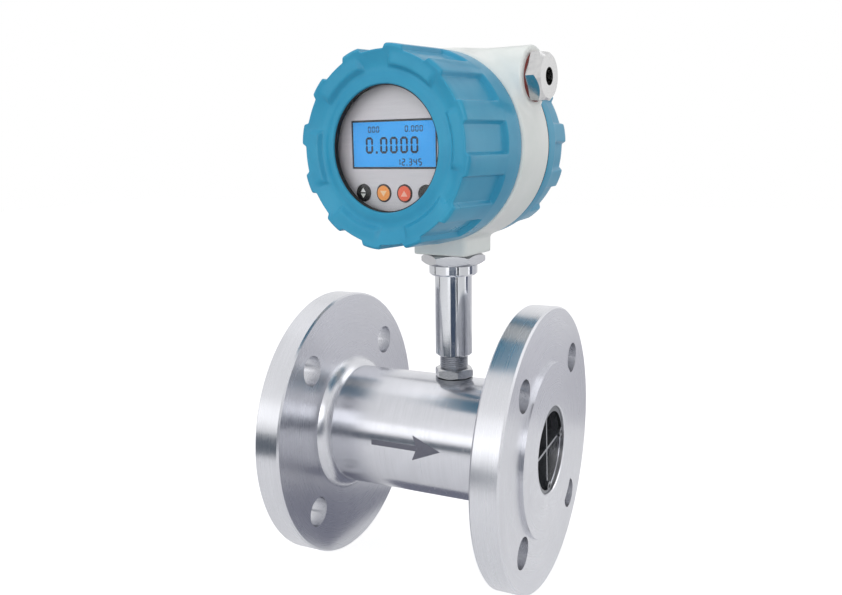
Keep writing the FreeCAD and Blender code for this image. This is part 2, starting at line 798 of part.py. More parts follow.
def front_cover():
    """Screwed window cover: lugged rim, dished face with six raised pads, round bezel."""
    skirt_r = cover_skirt_d / 2
    rim_r = cover_rim_d / 2
    thread_r = neck_d / 2 + cover_thread_fit
    valley_r = valley_d / 2
    window_r = window_d / 2
    bezel_r = window_r + bezel_width
    chamber_r = glass_chamber_d / 2
    seal_r = thread_r + seal_groove_depth
    seal_end = cover_back + cover_seal_section + part_gap
    thread_end = casing_front + neck_length + front_cover_gap
    valley = cover_rim - valley_depth
    seat_r = glass_d / 2 + part_gap
    cover = turned_head([
        (cover_back, seal_r, 0), (cover_back, skirt_r, cover_edge_radius),
        (cover_back + cover_skirt_band, skirt_r, 0), (cover_rim, rim_r, rim_radius),
        (cover_rim - rim_drop, rim_r - rim_width, 0),
        (valley, valley_r + valley_width, -valley_chamfer),
        (valley, valley_r, -valley_chamfer),
        (lip_outer, bezel_r - bezel_flank, bezel_radius),
        (lip_outer, window_r, -window_edge_chamfer),
        (lip_inner, window_r, 0), (lip_inner, seat_r, 0),
        (glass_back, seat_r, 0), (glass_back, chamber_r, 0),
        (thread_end, chamber_r, 0), (thread_end, thread_r, 0),
        (seal_end, thread_r, 0), (seal_end, seal_r, 0)])
    pad_level = cover_rim - pad_drop
    pad_foot = valley - pad_sink
    pad_outer_r = rim_r - rim_width / 2
    pad = turned_head([
        (cover_rim - pad_outer_drop, pad_outer_r, 0), (pad_level, rim_r - rim_width, 0),
        (pad_level, pad_inner_d / 2 + pad_flank, 0), (pad_foot, pad_inner_d / 2, 0),
        (pad_foot, pad_outer_r, 0)], pad_angle, -pad_angle / 2)
    cover = cover.fuse(around_head(pad, pad_count, pad_phase))
    return grip_lugs(cover, cover_back + cover_skirt_band, cover_rim,
                     front_lug_phase).removeSplitter()


def rear_cover():
    """Screwed blind cover with the same lugs and a shallow dished back."""
    skirt_r = cover_skirt_d / 2
    rim_r = cover_rim_d / 2
    thread_r = neck_d / 2 + cover_thread_fit
    seal_r = thread_r + seal_groove_depth
    seal_end = rear_back - cover_seal_section - part_gap
    inner_face = rear_rim + rear_panel_thickness
    valley = rear_rim + bezel_below_rim
    cover = turned_head([
        (rear_back, seal_r, 0), (rear_back, skirt_r, cover_edge_radius),
        (rear_back - rear_skirt_band, skirt_r, 0), (rear_rim, rim_r, rim_radius),
        (rear_rim + rim_drop, rim_r - rim_width, 0),
        (valley, valley_d / 2 + valley_width, -valley_chamfer),
        (valley, 0, 0), (inner_face, 0, 0), (inner_face, thread_r, -rear_panel_chamfer),
        (seal_end, thread_r, 0), (seal_end, seal_r, 0)])
    return grip_lugs(cover, rear_back - rear_skirt_band, rear_rim,
                     rear_lug_phase).removeSplitter()


def ring_head(outer_d, inner_d, fore_back, fore_front):
    """Head frame: flat ring about the casing axis."""
    return disc_head(outer_d, fore_back, fore_front).cut(
        disc_head(inner_d, fore_back, fore_front))


def cover_seal(fore_back):
    """Square-section sealing ring held in the groove at a cover's mouth."""
    inner_d = neck_d + 2 * cover_thread_fit
    return ring_head(inner_d + 2 * cover_seal_section, inner_d,
                     fore_back, fore_back + cover_seal_section)


def window_gasket():
    """Flat gasket between the glass and the cover's lip, open to the window's edge."""
    return ring_head(glass_d, glass_d - 2 * glass_overlap, glass_front, lip_inner)


def window_glass():
    """Round window."""
    return disc_head(glass_d, glass_back, glass_front)


def glass_retainer():
    """Threaded ring behind the glass, with two spanner slots."""
    back = glass_back - retainer_height
    ring = ring_head(retainer_d, retainer_inner_d, back, glass_back)
    slot = block_head(glass_chamber_d, spanner_slot_width, back, back + spanner_slot_depth)
    return ring.cut(slot)


# ---------------------------------------------------------------- display pieces
def key_sides():
    """Side positions of the keys, in one row."""
    return [key_pitch * (k - (key_count - 1) / 2) for k in range(key_count)]


def display_plate():
    """Face plate with the screen opening and four key holes."""
    plate = disc_head(plate_d, plate_back, plate_front)
    plate = plate.cut(block_head(screen_width, screen_height, plate_back - CUT_MARGIN,
                                 plate_front + CUT_MARGIN, 0, screen_rise))
    for side in key_sides():
        plate = plate.cut(disc_head(key_d + 2 * key_hole_clearance, plate_back - CUT_MARGIN,
                                    plate_front + CUT_MARGIN, side, key_rise))
    return plate


def lcd_screen():
    """Front of the display, flush with the plate's opening."""
    inset = 2 * screen_clearance
    return block_head(screen_width - inset, screen_height - inset, plate_back,
                      plate_front - screen_recess, 0, screen_rise)


def lcd_module():
    """Display housing between the plate and its board."""
    return block_head(module_width, screen_height + 2 * module_border, display_board_front,
                      plate_back, 0, screen_rise)


def key(side):
    """Push key: round cap in the plate's hole, with a collar behind the plate."""
    collar_top = plate_back - key_collar_gap
    collar_bottom = collar_top - key_collar_height
    foot = display_board_front + switch_height + key_switch_gap + key_travel
    cap = turned_head([(foot, 0, 0), (foot, switch_plunger_d / 2, 0),
                       (collar_bottom, switch_plunger_d / 2, 0),
                       (collar_bottom, key_collar_d / 2, 0), (collar_top, key_collar_d / 2, 0),
                       (collar_top, key_d / 2, 0),
                       (plate_front + key_proud, key_d / 2, -key_chamfer),
                       (plate_front + key_proud, 0, 0)])
    cap.translate(FreeCAD.Vector(side, 0, key_rise))
    return cap


def key_switches():
    """Four tact switches on the display board."""
    solids = []
    body_top = display_board_front + switch_height - switch_plunger_height
    for side in key_sides():
        body = block_head(switch_side, switch_side, display_board_front, body_top,
                          side, key_rise)
        plunger = disc_head(switch_plunger_d, body_top, display_board_front + switch_height,
                            side, key_rise)
        solids.append(body.fuse(plunger))
    return Part.makeCompound(solids)


def at_standoffs(shape):
    """Copies of a head-frame shape at the four standoff positions."""
    copies = []
    for side in (-1, 1):
        for rise in (-1, 1):
            copy = shape.copy()
            copy.translate(FreeCAD.Vector(side * standoff_side_span / 2, 0,
                                          rise * standoff_rise_span / 2))
            copies.append(copy)
    return copies


def board(back, hole):
    """Round circuit board with its fixing holes."""
    plate = disc_head(board_d, back, back + board_thickness)
    return plate.cut(at_standoffs(
        disc_head(hole, back - CUT_MARGIN, back + board_thickness + CUT_MARGIN)))


def standoffs(back, front):
    """Hexagonal standoffs between two levels."""
    post = hexagon(standoff_d, front - back)
    post.rotate(ORIGIN, X, 90)
    post.translate(Y * -back)
    return Part.makeCompound(at_standoffs(post))


def board_screws():
    """Flat-headed screws that hold the display board to its standoffs."""
    head = disc_head(screw_head_d, display_board_front, display_board_front + screw_head_height)
    shank = disc_head(screw_head_d / 2, display_board_back, display_board_front)
    return Part.makeCompound(at_standoffs(head.fuse(shank)))


def plate_spacers():
    """Four round spacers that carry the face plate on the display board."""
    post = disc_head(spacer_d, display_board_front, plate_back, spacer_circle_d / 2)
    return Part.makeCompound(around_head(post, spacer_count))


def terminal_board():
    """Square board on four feet behind the partition."""
    front = partition_rear - terminal_board_gap
    a = terminal_board_side
    plate = block_head(a, a, front - board_thickness, front, 0, 0, board_corner_radius)
    foot = a / 2 - terminal_foot_inset
    for side in (-foot, foot):
        for rise in (-foot, foot):
            plate = plate.fuse(disc_head(standoff_d, front, partition_rear, side, rise))
    return plate


def terminal_sides():
    """Side positions of the terminals."""
    pitch = terminal_width / terminal_ways
    return [pitch * (k - (terminal_ways - 1) / 2) for k in range(terminal_ways)]


def terminal_block():
    """Screw terminal block with a wire hole and a screw well for each way."""
    front = partition_rear - terminal_board_gap - board_thickness
    back = front - terminal_depth
    block = block_head(terminal_width, terminal_height, back, front)
    hole_fore = front - terminal_wire_fore
    for side in terminal_sides():
        block = block.cut(disc_head(terminal_screw_d + 2 * part_gap, back - CUT_MARGIN,
                                    back + terminal_well_depth, side, terminal_screw_rise))
        block = block.cut(block_head(
            terminal_wire_side, terminal_height / 2, hole_fore - terminal_wire_side / 2,
            hole_fore + terminal_wire_side / 2, side, -terminal_height / 2))
    return block


def terminal_screws():
    """Slotted clamp screws, one in each well."""
    front = partition_rear - terminal_board_gap - board_thickness
    back = front - terminal_depth
    solids = []
    head = back + terminal_screw_sink
    for side in terminal_sides():
        screw = disc_head(terminal_screw_d, head, back + terminal_well_depth,
                          side, terminal_screw_rise)
        slot = block_head(terminal_screw_d, terminal_slot_width, head,
                          head + terminal_slot_depth, side, terminal_screw_rise)
        solids.append(screw.cut(slot))
    return Part.makeCompound(solids)


# ---------------------------------------------------------------- cable entries
def to_entry(shape, side):
    """Moves a shape built on Z to an entry; z = 0 is the barrel's end face, z points out."""
    middle = (casing_front + casing_rear) / 2
    moved = shape.copy()
    moved.rotate(ORIGIN, Y, 90 * side)
    moved.translate(FreeCAD.Vector(side * entry_half_span, -middle, entry_rise))
    return moved


def entry_washer():
    """Flat washer under a gland or a plug."""
    ring = Part.makeCylinder(washer_d / 2, washer_thickness)
    return ring.cut(Part.makeCylinder(entry_thread_d / 2 + part_gap, washer_thickness))


def cable_gland():
    """Gland with a hexagonal head, a round chamfered face and a threaded shank."""
    head = hexagon(gland_af, gland_height, ENTRY_HEX_ANGLE)
    face_r = gland_face_d / 2
    corner_r = gland_af / math.sqrt(3) + CUT_MARGIN
    rim = gland_height - gland_face_chamfer
    head = head.common(turned_z([
        (0, 0, 0), (corner_r, 0, 0), (corner_r, rim - (corner_r - face_r), 0),
        (face_r, rim, 0), (face_r - gland_face_chamfer, gland_height, 0),
        (0, gland_height, 0)]))
    head.translate(Z * washer_thickness)
    shank = Part.makeCylinder(entry_thread_d / 2, gland_thread_length + washer_thickness,
                              Z * -gland_thread_length)
    body = head.fuse(shank)
    top = washer_thickness + gland_height
    body = body.cut(Part.makeCylinder(gland_bore_d / 2, top + gland_thread_length + 2 * CUT_MARGIN,
                                      Z * (-gland_thread_length - CUT_MARGIN)))
    pocket_r = gland_bore_d / 2 + grommet_wall - part_gap
    return body.cut(Part.makeCylinder(pocket_r, grommet_length,
                                      Z * (-gland_thread_length)))


def gland_grommet():
    """Rubber bush inside the gland's shank that grips the cable."""
    outer_r = gland_bore_d / 2 + grommet_wall - part_gap
    ring = Part.makeCylinder(outer_r, grommet_length, Z * -gland_thread_length)
    return ring.cut(Part.makeCylinder(gland_bore_d / 2, grommet_length + 2 * CUT_MARGIN,
                                      Z * (-gland_thread_length - CUT_MARGIN)))


def blanking_plug():
    """Plug for the unused entry: hexagonal head with a key socket, and a threaded shank."""
    head = hex_nut(gland_af, plug_head_height, 0, ENTRY_HEX_ANGLE)
    head.translate(Z * washer_thickness)
    shank = Part.makeCylinder(entry_thread_d / 2, gland_thread_length + washer_thickness,
                              Z * -gland_thread_length)
    socket = hexagon(plug_socket_af, plug_socket_depth + CUT_MARGIN)
    socket.translate(Z * (washer_thickness + plug_head_height - plug_socket_depth))
    return head.fuse(shank).cut(socket)


# ---------------------------------------------------------------- all pieces
def build():
    inlet_flange = flange()
    inlet_weld = weld()
    inlet_bush_start = rotor_start - hub_gap - bush_length
    pieces = {
        "meter_tube": meter_tube(),
        "inlet_flange": inlet_flange,
        "outlet_flange": outlet_copy(inlet_flange),
        "inlet_weld": inlet_weld,
        "outlet_weld": outlet_copy(inlet_weld),
        "sensor_boss": sensor_boss(),
        "inlet_guide": inlet_guide(),
        "outlet_guide": outlet_guide(),
        "inlet_bush": bush(inlet_bush_start),
        "outlet_bush": bush(rotor_end + hub_gap),
        "inlet_retaining_ring": retaining_ring(),
        "outlet_retaining_ring": outlet_retaining_ring(),
        "turbine_rotor": rotor(),
        "rotor_shaft": rotor_shaft(),
        "pickup_shell": pickup_shell(),
        "pickup_magnet": pickup_magnet(),
        "pickup_coil": pickup_coil(),
        "pickup_lock_nut": pickup_lock_nut(),
        "stem_tube": stem_tube(),
        "swivel_nipple": swivel_nipple(),
        "swivel_seal": swivel_seal(),
        "swivel_lock_nut": swivel_lock_nut(),
    }
    head_pieces = {
        "housing_body": housing_body(),
        "partition_plate": partition_plate(),
        "front_cover": front_cover(),
        "front_cover_seal": cover_seal(cover_back),
        "window_gasket": window_gasket(),
        "window_glass": window_glass(),
        "glass_retainer": glass_retainer(),
        "rear_cover": rear_cover(),
        "rear_cover_seal": cover_seal(rear_back - cover_seal_section),
        "display_plate": display_plate(),
        "lcd_screen": lcd_screen(),
        "lcd_module": lcd_module(),
        "display_board": board(display_board_back, screw_head_d / 2 + part_gap),
        "plate_spacers": plate_spacers(),
        "board_screws": board_screws(),
        "display_standoffs": standoffs(main_board_fore + board_thickness, display_board_back),
        "main_board": board(main_board_fore, screw_head_d / 2 + part_gap),
        "main_standoffs": standoffs(partition_front, main_board_fore),
        "key_switches": key_switches(),
        "terminal_board": terminal_board(),
        "terminal_block": terminal_block(),
        "terminal_screws": terminal_screws(),
        "cable_gland": to_entry(cable_gland(), 1),
        "gland_grommet": to_entry(gland_grommet(), 1),
        "gland_washer": to_entry(entry_washer(), 1),
        "blanking_plug": to_entry(blanking_plug(), -1),
        "plug_washer": to_entry(entry_washer(), -1),
    }
    key_names = ("key_menu", "key_down", "key_up", "key_enter")
    for name, side in zip(key_names, key_sides()):
        head_pieces[name] = key(side)
    for name, shape in head_pieces.items():
        pieces[name] = place_head(shape)
    os.makedirs("parts", exist_ok=True)
    for name, shape in pieces.items():
        export(name, shape)


build()
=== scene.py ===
# %% [markdown]
# # A turbine flow meter, dressed for its portrait
#
# The meter is a short steel pipe between two bolting flanges. A rotor spins inside it, a pickup
# on a stem counts the blades, and a painted indicator head shows the flow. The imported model
# already holds every piece at its true size. This lesson gives each piece its finish, and
# remakes the few pieces whose cast or threaded surfaces a plain solid can't show.

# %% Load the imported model
import json
import math

import bmesh
import bpy
import numpy as np
from mathutils import Matrix, Vector


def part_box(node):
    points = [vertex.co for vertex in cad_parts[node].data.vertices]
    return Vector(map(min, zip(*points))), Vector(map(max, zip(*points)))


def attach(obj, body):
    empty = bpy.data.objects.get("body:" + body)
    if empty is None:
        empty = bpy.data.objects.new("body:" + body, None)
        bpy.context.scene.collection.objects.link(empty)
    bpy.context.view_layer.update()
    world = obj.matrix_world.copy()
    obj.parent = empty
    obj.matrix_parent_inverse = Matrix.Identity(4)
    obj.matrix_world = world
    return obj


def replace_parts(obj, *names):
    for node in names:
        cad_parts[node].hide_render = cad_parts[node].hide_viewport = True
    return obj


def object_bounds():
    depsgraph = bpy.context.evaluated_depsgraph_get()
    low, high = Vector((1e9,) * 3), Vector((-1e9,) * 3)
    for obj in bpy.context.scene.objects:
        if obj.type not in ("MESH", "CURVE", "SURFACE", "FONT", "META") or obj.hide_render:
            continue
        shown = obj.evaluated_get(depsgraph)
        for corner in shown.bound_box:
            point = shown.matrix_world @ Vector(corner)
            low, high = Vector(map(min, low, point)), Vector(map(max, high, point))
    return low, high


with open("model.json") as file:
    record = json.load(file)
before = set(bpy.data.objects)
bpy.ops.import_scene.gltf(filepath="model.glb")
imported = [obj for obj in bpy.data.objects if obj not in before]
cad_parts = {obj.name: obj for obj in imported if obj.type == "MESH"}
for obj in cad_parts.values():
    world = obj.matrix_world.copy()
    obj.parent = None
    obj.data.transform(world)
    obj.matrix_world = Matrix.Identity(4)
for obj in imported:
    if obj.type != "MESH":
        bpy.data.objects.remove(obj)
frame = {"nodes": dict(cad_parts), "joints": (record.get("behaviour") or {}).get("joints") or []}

cad_low, cad_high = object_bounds()
nodes = frame["nodes"]
joints = {joint["name"]: joint for joint in frame["joints"]}
MM = 0.001
print(len(nodes), "nodes, box", tuple(round(v / MM, 1) for v in cad_high - cad_low), "mm")

# %% [markdown]
# ## Where things are
#
# All lengths are written in millimetres and turned into metres by one constant. The head has a
# frame of its own, because it is turned a little on its stem: "fore" points out of the
# window, "side" to the reader's right and "rise" upwards. Its axis comes from the joints of
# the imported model, so nothing is placed by eye.

# %% Head frame
fore_axis = np.array(joints["front_cover_turn"]["axis"], float)
rise_axis = np.array([0.0, 0.0, 1.0])
side_axis = np.cross(rise_axis, fore_axis)
head_centre = np.array(joints["head_swivel"]["pos_m"], float)


def from_head(fore, side, rise):
    """Head-frame millimetres to metres in the meter's frame, for whole arrays at once."""
    fore, side, rise = np.broadcast_arrays(fore, side, rise)
    return (head_centre + MM * (fore[..., None] * fore_axis + side[..., None] * side_axis
                                + rise[..., None] * rise_axis))


def vertices_of(node):
    """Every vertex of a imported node, in metres."""
    return np.array([v.co for v in nodes[node].data.vertices])


def head_box(node):
    """Lowest and highest fore, side and rise of a node's own vertices, in millimetres."""
    points = (vertices_of(node) - head_centre) / MM
    local = points @ np.stack([fore_axis, side_axis, rise_axis], 1)
    return local.min(0), local.max(0)


def head_radius(node):
    """Largest distance of a node's vertices from the axis of the round casing."""
    points = vertices_of(node) - head_centre
    return np.hypot(points @ side_axis, points @ rise_axis).max() / MM


print("head at", head_centre, "looks along", fore_axis)

# %% [markdown]
# ## Colour and node helpers
#
# Colours are written as the sRGB hex values that a paint chart gives. Blender's sockets want
# linear light, so one function converts them. A second small function adds one shader node
# with its settings and its links, which keeps each material to a handful of lines.


# %% Helpers for materials
def linear(hex_colour, share=1.0):
    """sRGB hex such as "3FA0C4" to linear RGBA by the sRGB curve, dimmed to a share of it."""
    channels = [int(hex_colour[i:i + 2], 16) / 255 for i in (0, 2, 4)]
    values = [c / 12.92 if c <= 0.04045 else ((c + 0.055) / 1.055) ** 2.4 for c in channels]
    return (*(share * value for value in values), 1.0)


def add(tree, kind, settings=None, stops=(), into=None, **inputs):
    """Adds a node; settings are its properties, inputs are values or sockets to link.

    The stops of a colour ramp are (position, colour) pairs. The first output goes into a
    socket, if one is given.
    """
    node = tree.nodes.new(kind)
    for name, value in (settings or {}).items():
        setattr(node, name, value)
    for name, value in inputs.items():
        key = int(name[1:]) if name[0] == "_" else name.replace("_", " ")
        if isinstance(value, bpy.types.NodeSocket):
            tree.links.new(value, node.inputs[key])
        else:
            node.inputs[key].default_value = value
    while stops and len(node.color_ramp.elements) < len(stops):
        node.color_ramp.elements.new(0.5)
    for index, (position, colour) in enumerate(stops):
        node.color_ramp.elements[index].position = position
        node.color_ramp.elements[index].color = colour
    if into is not None:
        tree.links.new(node.outputs[0], into)
    return node


def new_material(name):
    """An empty Principled material: returns it with its tree and shader."""
    material = bpy.data.materials.new(name)
    material.use_nodes = True
    tree = material.node_tree
    return material, tree, tree.nodes["Principled BSDF"]


def textured(name):
    """A new material, and beside it the object's own coordinates in metres."""
    material, tree, shader = new_material(name)
    return material, tree, shader, add(tree, "ShaderNodeTexCoord").outputs["Object"]


def placed(name, data):
    """An object of the data, in the scene."""
    item = bpy.data.objects.new(name, data)
    bpy.context.scene.collection.objects.link(item)
    return item


def per_metre(millimetres):
    """Texture scale whose features repeat about every so many millimetres."""
    return 1 / (millimetres * MM)


def noise_tone(tree, shader, place, size_mm, dark, light, span, detail, rough=0.5):
    """Base colour from dark to light over a span of noise size_mm across; gives the noise."""
    noise = add(tree, "ShaderNodeTexNoise", Vector=place, Scale=per_metre(size_mm),
                Detail=detail, Roughness=rough).outputs["Fac"]
    add(tree, "ShaderNodeValToRGB", stops=[(span[0], dark), (span[1], light)], Fac=noise,
        into=shader.inputs["Base Color"])
    return noise


# %% [markdown]
# ## Turned and brushed stainless steel
#
# Flanges and tube are 304 stainless. The lathe leaves fine rings about the pipe axis, a few
# tenths of a millimetre apart, so the pattern is worked out from two numbers only: the
# distance from that axis and the place along it. Noise on those two numbers gives rings on a
# face and hoops on a rim, which is what turning does. The reflections stretch across the
# rings, and the anisotropic socket makes that fan of light on a flange's face. A slow change
# of tone a patch at a time keeps the metal from looking new-made.


# %% Turned steel
PATCH_MM = 9.0
ANGLE_WEIGHT = 0.02
QUARTER_TURN = 0.25


def axis_coordinates(tree, centre, axis):
    """Radius, angle and length about a line through centre, along X or Z, in metres."""
    place = add(tree, "ShaderNodeTexCoord").outputs["Object"]
    moved = add(tree, "ShaderNodeVectorMath", {"operation": "SUBTRACT"}, _0=place,
                _1=centre).outputs[0]
    parts = add(tree, "ShaderNodeSeparateXYZ", Vector=moved).outputs
    along = parts[axis]
    first, second = [parts[k] for k in (0, 1, 2) if k != axis]
    squares = [add(tree, "ShaderNodeMath", {"operation": "MULTIPLY"}, _0=p, _1=p).outputs[0]
               for p in (first, second)]
    total = add(tree, "ShaderNodeMath", _0=squares[0], _1=squares[1]).outputs[0]
    radius = add(tree, "ShaderNodeMath", {"operation": "SQRT"}, _0=total).outputs[0]
    angle = add(tree, "ShaderNodeMath", {"operation": "ARCTAN2"}, _0=second,
                _1=first).outputs[0]
    return radius, angle, along


def turned_metal(name, colour, rough, ring_mm, depth_mm, axis=0, centre=(0, 0, 0),
                 anisotropy=0.6, shade=0.12):
    """Lathe-turned metal: rings ring_mm apart and depth_mm deep about an axis.

    The rings are noise of (radius, length), so they are the same all round. Patches
    PATCH_MM across change slowly with the angle too.
    """
    material, tree, shader = new_material(name)
    radius, angle, along = axis_coordinates(tree, centre, axis)
    rings = add(tree, "ShaderNodeCombineXYZ", X=radius, Y=along).outputs[0]
    fine = add(tree, "ShaderNodeTexNoise", Vector=rings, Scale=per_metre(ring_mm),
               Detail=3.0, Roughness=0.6).outputs["Fac"]
    turn = add(tree, "ShaderNodeMath", {"operation": "MULTIPLY"}, _0=angle,
               _1=ANGLE_WEIGHT).outputs[0]
    patchy = add(tree, "ShaderNodeCombineXYZ", X=radius, Y=along, Z=turn).outputs[0]
    broad = add(tree, "ShaderNodeTexNoise", Vector=patchy, Scale=per_metre(PATCH_MM),
                Detail=4.0).outputs["Fac"]
    both = add(tree, "ShaderNodeMath", {"operation": "MULTIPLY_ADD"}, _0=broad, _1=0.5,
               _2=fine).outputs[0]
    add(tree, "ShaderNodeValToRGB", Fac=both, into=shader.inputs["Base Color"],
        stops=[(0.45, linear(colour, 1 - shade)), (1.0, linear(colour))])
    add(tree, "ShaderNodeMapRange", Value=both, _1=0.5, _2=1.0, _3=rough + 0.06,
        _4=rough - 0.04, into=shader.inputs["Roughness"])
    add(tree, "ShaderNodeBump", Height=fine, Strength=0.35, Distance=depth_mm * MM,
        into=shader.inputs["Normal"])
    add(tree, "ShaderNodeTangent", {"direction_type": "RADIAL", "axis": "XYZ"[axis]},
        into=shader.inputs["Tangent"])
    shader.inputs["Metallic"].default_value = 1.0
    shader.inputs["Anisotropic"].default_value = anisotropy
    shader.inputs["Anisotropic Rotation"].default_value = QUARTER_TURN
    return material


stem_x = joints["rotor_spin"]["pos_m"][0]
stem_line = (stem_x, 0.0, 0.0)
turned_flange = turned_metal("turned 304 stainless flange", "DADBE0", 0.28, 0.5, 0.02)
brushed_tube = turned_metal("brushed 304 stainless tube", "D6D7DD", 0.22, 0.35, 0.010,
                            anisotropy=0.5)
polished_stem = turned_metal("polished stainless stem", "D6D8DC", 0.12, 0.4, 0.004,
                             axis=2, centre=stem_line, anisotropy=0.3, shade=0.05)
milled_nut = turned_metal("machined stainless nut", "C9CACD", 0.24, 0.3, 0.008,
                          axis=2, centre=stem_line, anisotropy=0.3)
print("turned metals ready")

# %% [markdown]
# ## Gloss paint on cast aluminium
#
# The head is die-cast aluminium, shot-blasted and sprayed with a two-coat gloss enamel. Paint
# over a cast skin never dries dead flat: it keeps a faint orange peel of a millimetre or two,
# pools a little thicker in the hollows and thins at the edges. A coat layer gives the hard
# outer gloss, and two scales of noise give the peel and the slight change of tone.


# %% Paint
CLOUD_MM = 34.0
PEEL_MM = 1.8
PEEL_DEPTH_MM = 0.05


def gloss_paint(name, colour, deep):
    """Sprayed enamel with orange peel PEEL_MM across; deep is the darker tone of a cloud CLOUD_MM
    across.
    """
    material, tree, shader, place = textured(name)
    cloud = noise_tone(tree, shader, place, CLOUD_MM, linear(deep), linear(colour),
                       (0.30, 0.62), 5.0, 0.55)
    peel = add(tree, "ShaderNodeTexNoise", Vector=place, Scale=per_metre(PEEL_MM),
               Detail=2.0).outputs["Fac"]
    add(tree, "ShaderNodeMapRange", Value=cloud, _1=0.3, _2=0.7, _3=0.36, _4=0.27,
        into=shader.inputs["Roughness"])
    bump = add(tree, "ShaderNodeBump", Height=peel, Strength=0.20,
               Distance=PEEL_DEPTH_MM * MM).outputs[0]
    for socket in ("Normal", "Coat Normal"):
        tree.links.new(bump, shader.inputs[socket])
    shader.inputs["Coat Weight"].default_value = 0.15
    shader.inputs["Coat Roughness"].default_value = 0.07
    shader.inputs["Specular IOR Level"].default_value = 0.2
    return material


blue_enamel = gloss_paint("blue enamel on cast aluminium", "359ABE", "2B8DB3")
white_enamel = gloss_paint("white enamel on cast aluminium", "E9ECEA", "DDE3E0")
print("paints ready")

# %% [markdown]
# ## The other finishes
#
# Small parts get their own honest material: moulded rubber with a fine matte grain, nickel
# plate on brass, zinc plate on steel, red fibre washers and solder-masked boards. They share
# one recipe, a base tone broken by noise of a stated size with its own roughness, because at
# this scale that is all the eye can tell apart. Four have a recipe of their own: the window's
# glass, the brushed face plate, the lit screen and the printed film of the keys.


# %% Small finishes
ROUGH_SPREAD = 0.08


def grained(name, colour, second, grain_mm, rough, metallic=0.0, depth_mm=0.02):
    """A material of two close tones mixed by noise grain_mm across, with a matching bump."""
    material, tree, shader, place = textured(name)
    grain = noise_tone(tree, shader, place, grain_mm, linear(second), linear(colour),
                       (0.35, 0.65), 6.0, 0.6)
    add(tree, "ShaderNodeMapRange", Value=grain, _1=0.3, _2=0.7, _3=rough + ROUGH_SPREAD,
        _4=rough - ROUGH_SPREAD, into=shader.inputs["Roughness"])
    add(tree, "ShaderNodeBump", Height=grain, Strength=0.4, Distance=depth_mm * MM,
        into=shader.inputs["Normal"])
    shader.inputs["Metallic"].default_value = metallic
    return material


# Name, main tone, second tone, grain in millimetres, roughness, metal, relief in
# millimetres, and the nodes that have the finish.
SMALL_FINISHES = [
    # Partly painted shade: the milled steel's darker tone also stands for the shadow under the
    # pickup nut on the sensor boss.
    ("milled stainless steel", "9FA2A6", "83868B", 0.8, 0.34, 1.0, 0.02,
     "inlet_guide outlet_guide turbine_rotor sensor_boss"),
    ("spring steel", "8A8C90", "5F6166", 0.6, 0.32, 1.0, 0.02,
     "inlet_retaining_ring outlet_retaining_ring"),
    ("sintered carbide", "3B3B3E", "2B2B2E", 0.3, 0.55, 0.0, 0.02, "inlet_bush outlet_bush"),
    ("ground steel pin", "C4C6CA", "B2B4B8", 0.25, 0.16, 1.0, 0.004, "rotor_shaft"),
    ("magnet steel", "6B6C70", "55565A", 0.7, 0.45, 1.0, 0.02, "pickup_magnet"),
    ("enamelled copper wire", "B5652F", "8C4A22", 0.3, 0.35, 0.8, 0.02, "pickup_coil"),
    ("moulded nitrile rubber", "19191B", "101012", 0.35, 0.62, 0.0, 0.02,
     "swivel_seal front_cover_seal rear_cover_seal window_gasket gland_grommet"),
    ("zinc plated steel", "C2C3BE", "A3A6A6", 0.7, 0.30, 1.0, 0.02,
     "glass_retainer display_standoffs main_standoffs plate_spacers board_screws "
     "terminal_screws"),
    ("nickel plated brass", "CFCFCF", "C4C4C5", 2.5, 0.20, 1.0, 0.004,
     "cable_gland blanking_plug"),
    ("red vulcanised fibre", "7A2A24", "5A1C18", 0.5, 0.60, 0.0, 0.02,
     "gland_washer plug_washer"),
    ("moulded black plastic", "1B1B1D", "131315", 0.25, 0.50, 0.0, 0.02,
     "lcd_module key_switches"),
    ("green solder mask", "1F6B3A", "175430", 1.4, 0.30, 0.0, 0.02,
     "display_board main_board terminal_board"),
    ("moulded green plastic", "2F7D4C", "27693F", 0.4, 0.48, 0.0, 0.02, "terminal_block"),
]
finishes = {grained(*looks): names.split() for *looks, names in SMALL_FINISHES}
rubber = bpy.data.materials["moulded nitrile rubber"]
print(len(finishes), "small finishes")


# %% Glass, plate and screen
WAVE_MM = 22.0
WAVE_DEPTH_MM = 0.03
COATED_IOR = 1.25
HAIRLINE_MM = 0.5
HAIRLINE_STRETCH = 0.03


def window_material():
    """Toughened glass: the faint waviness of heat treatment, and a coating that cuts glare."""
    material, tree, shader, place = textured("toughened glass")
    wave = noise_tone(tree, shader, place, WAVE_MM, linear("F6FAF9"), linear("FFFFFF"),
                      (0.2, 0.8), 1.0)
    add(tree, "ShaderNodeBump", Height=wave, Strength=0.15, Distance=WAVE_DEPTH_MM * MM,
        into=shader.inputs["Normal"])
    shader.inputs["Transmission Weight"].default_value = 1.0
    shader.inputs["Roughness"].default_value = 0.0
    shader.inputs["IOR"].default_value = COATED_IOR
    return material


def brushed_plate_material():
    """Silver face plate: level hairlines, HAIRLINE_MM apart and many times as long."""
    material, tree, shader, place = textured("brushed anodised aluminium")
    stretch = add(tree, "ShaderNodeMapping", Vector=place,
                  Scale=(HAIRLINE_STRETCH, HAIRLINE_STRETCH, 1.0)).outputs[0]
    hair = noise_tone(tree, shader, stretch, HAIRLINE_MM, linear("C6C1C8"), linear("D0CCD1"),
                      (0.3, 0.7), 4.0, 0.7)
    add(tree, "ShaderNodeMapRange", Value=hair, _3=0.52, _4=0.40,
        into=shader.inputs["Roughness"])
    shader.inputs["Metallic"].default_value = 0.1
    return material


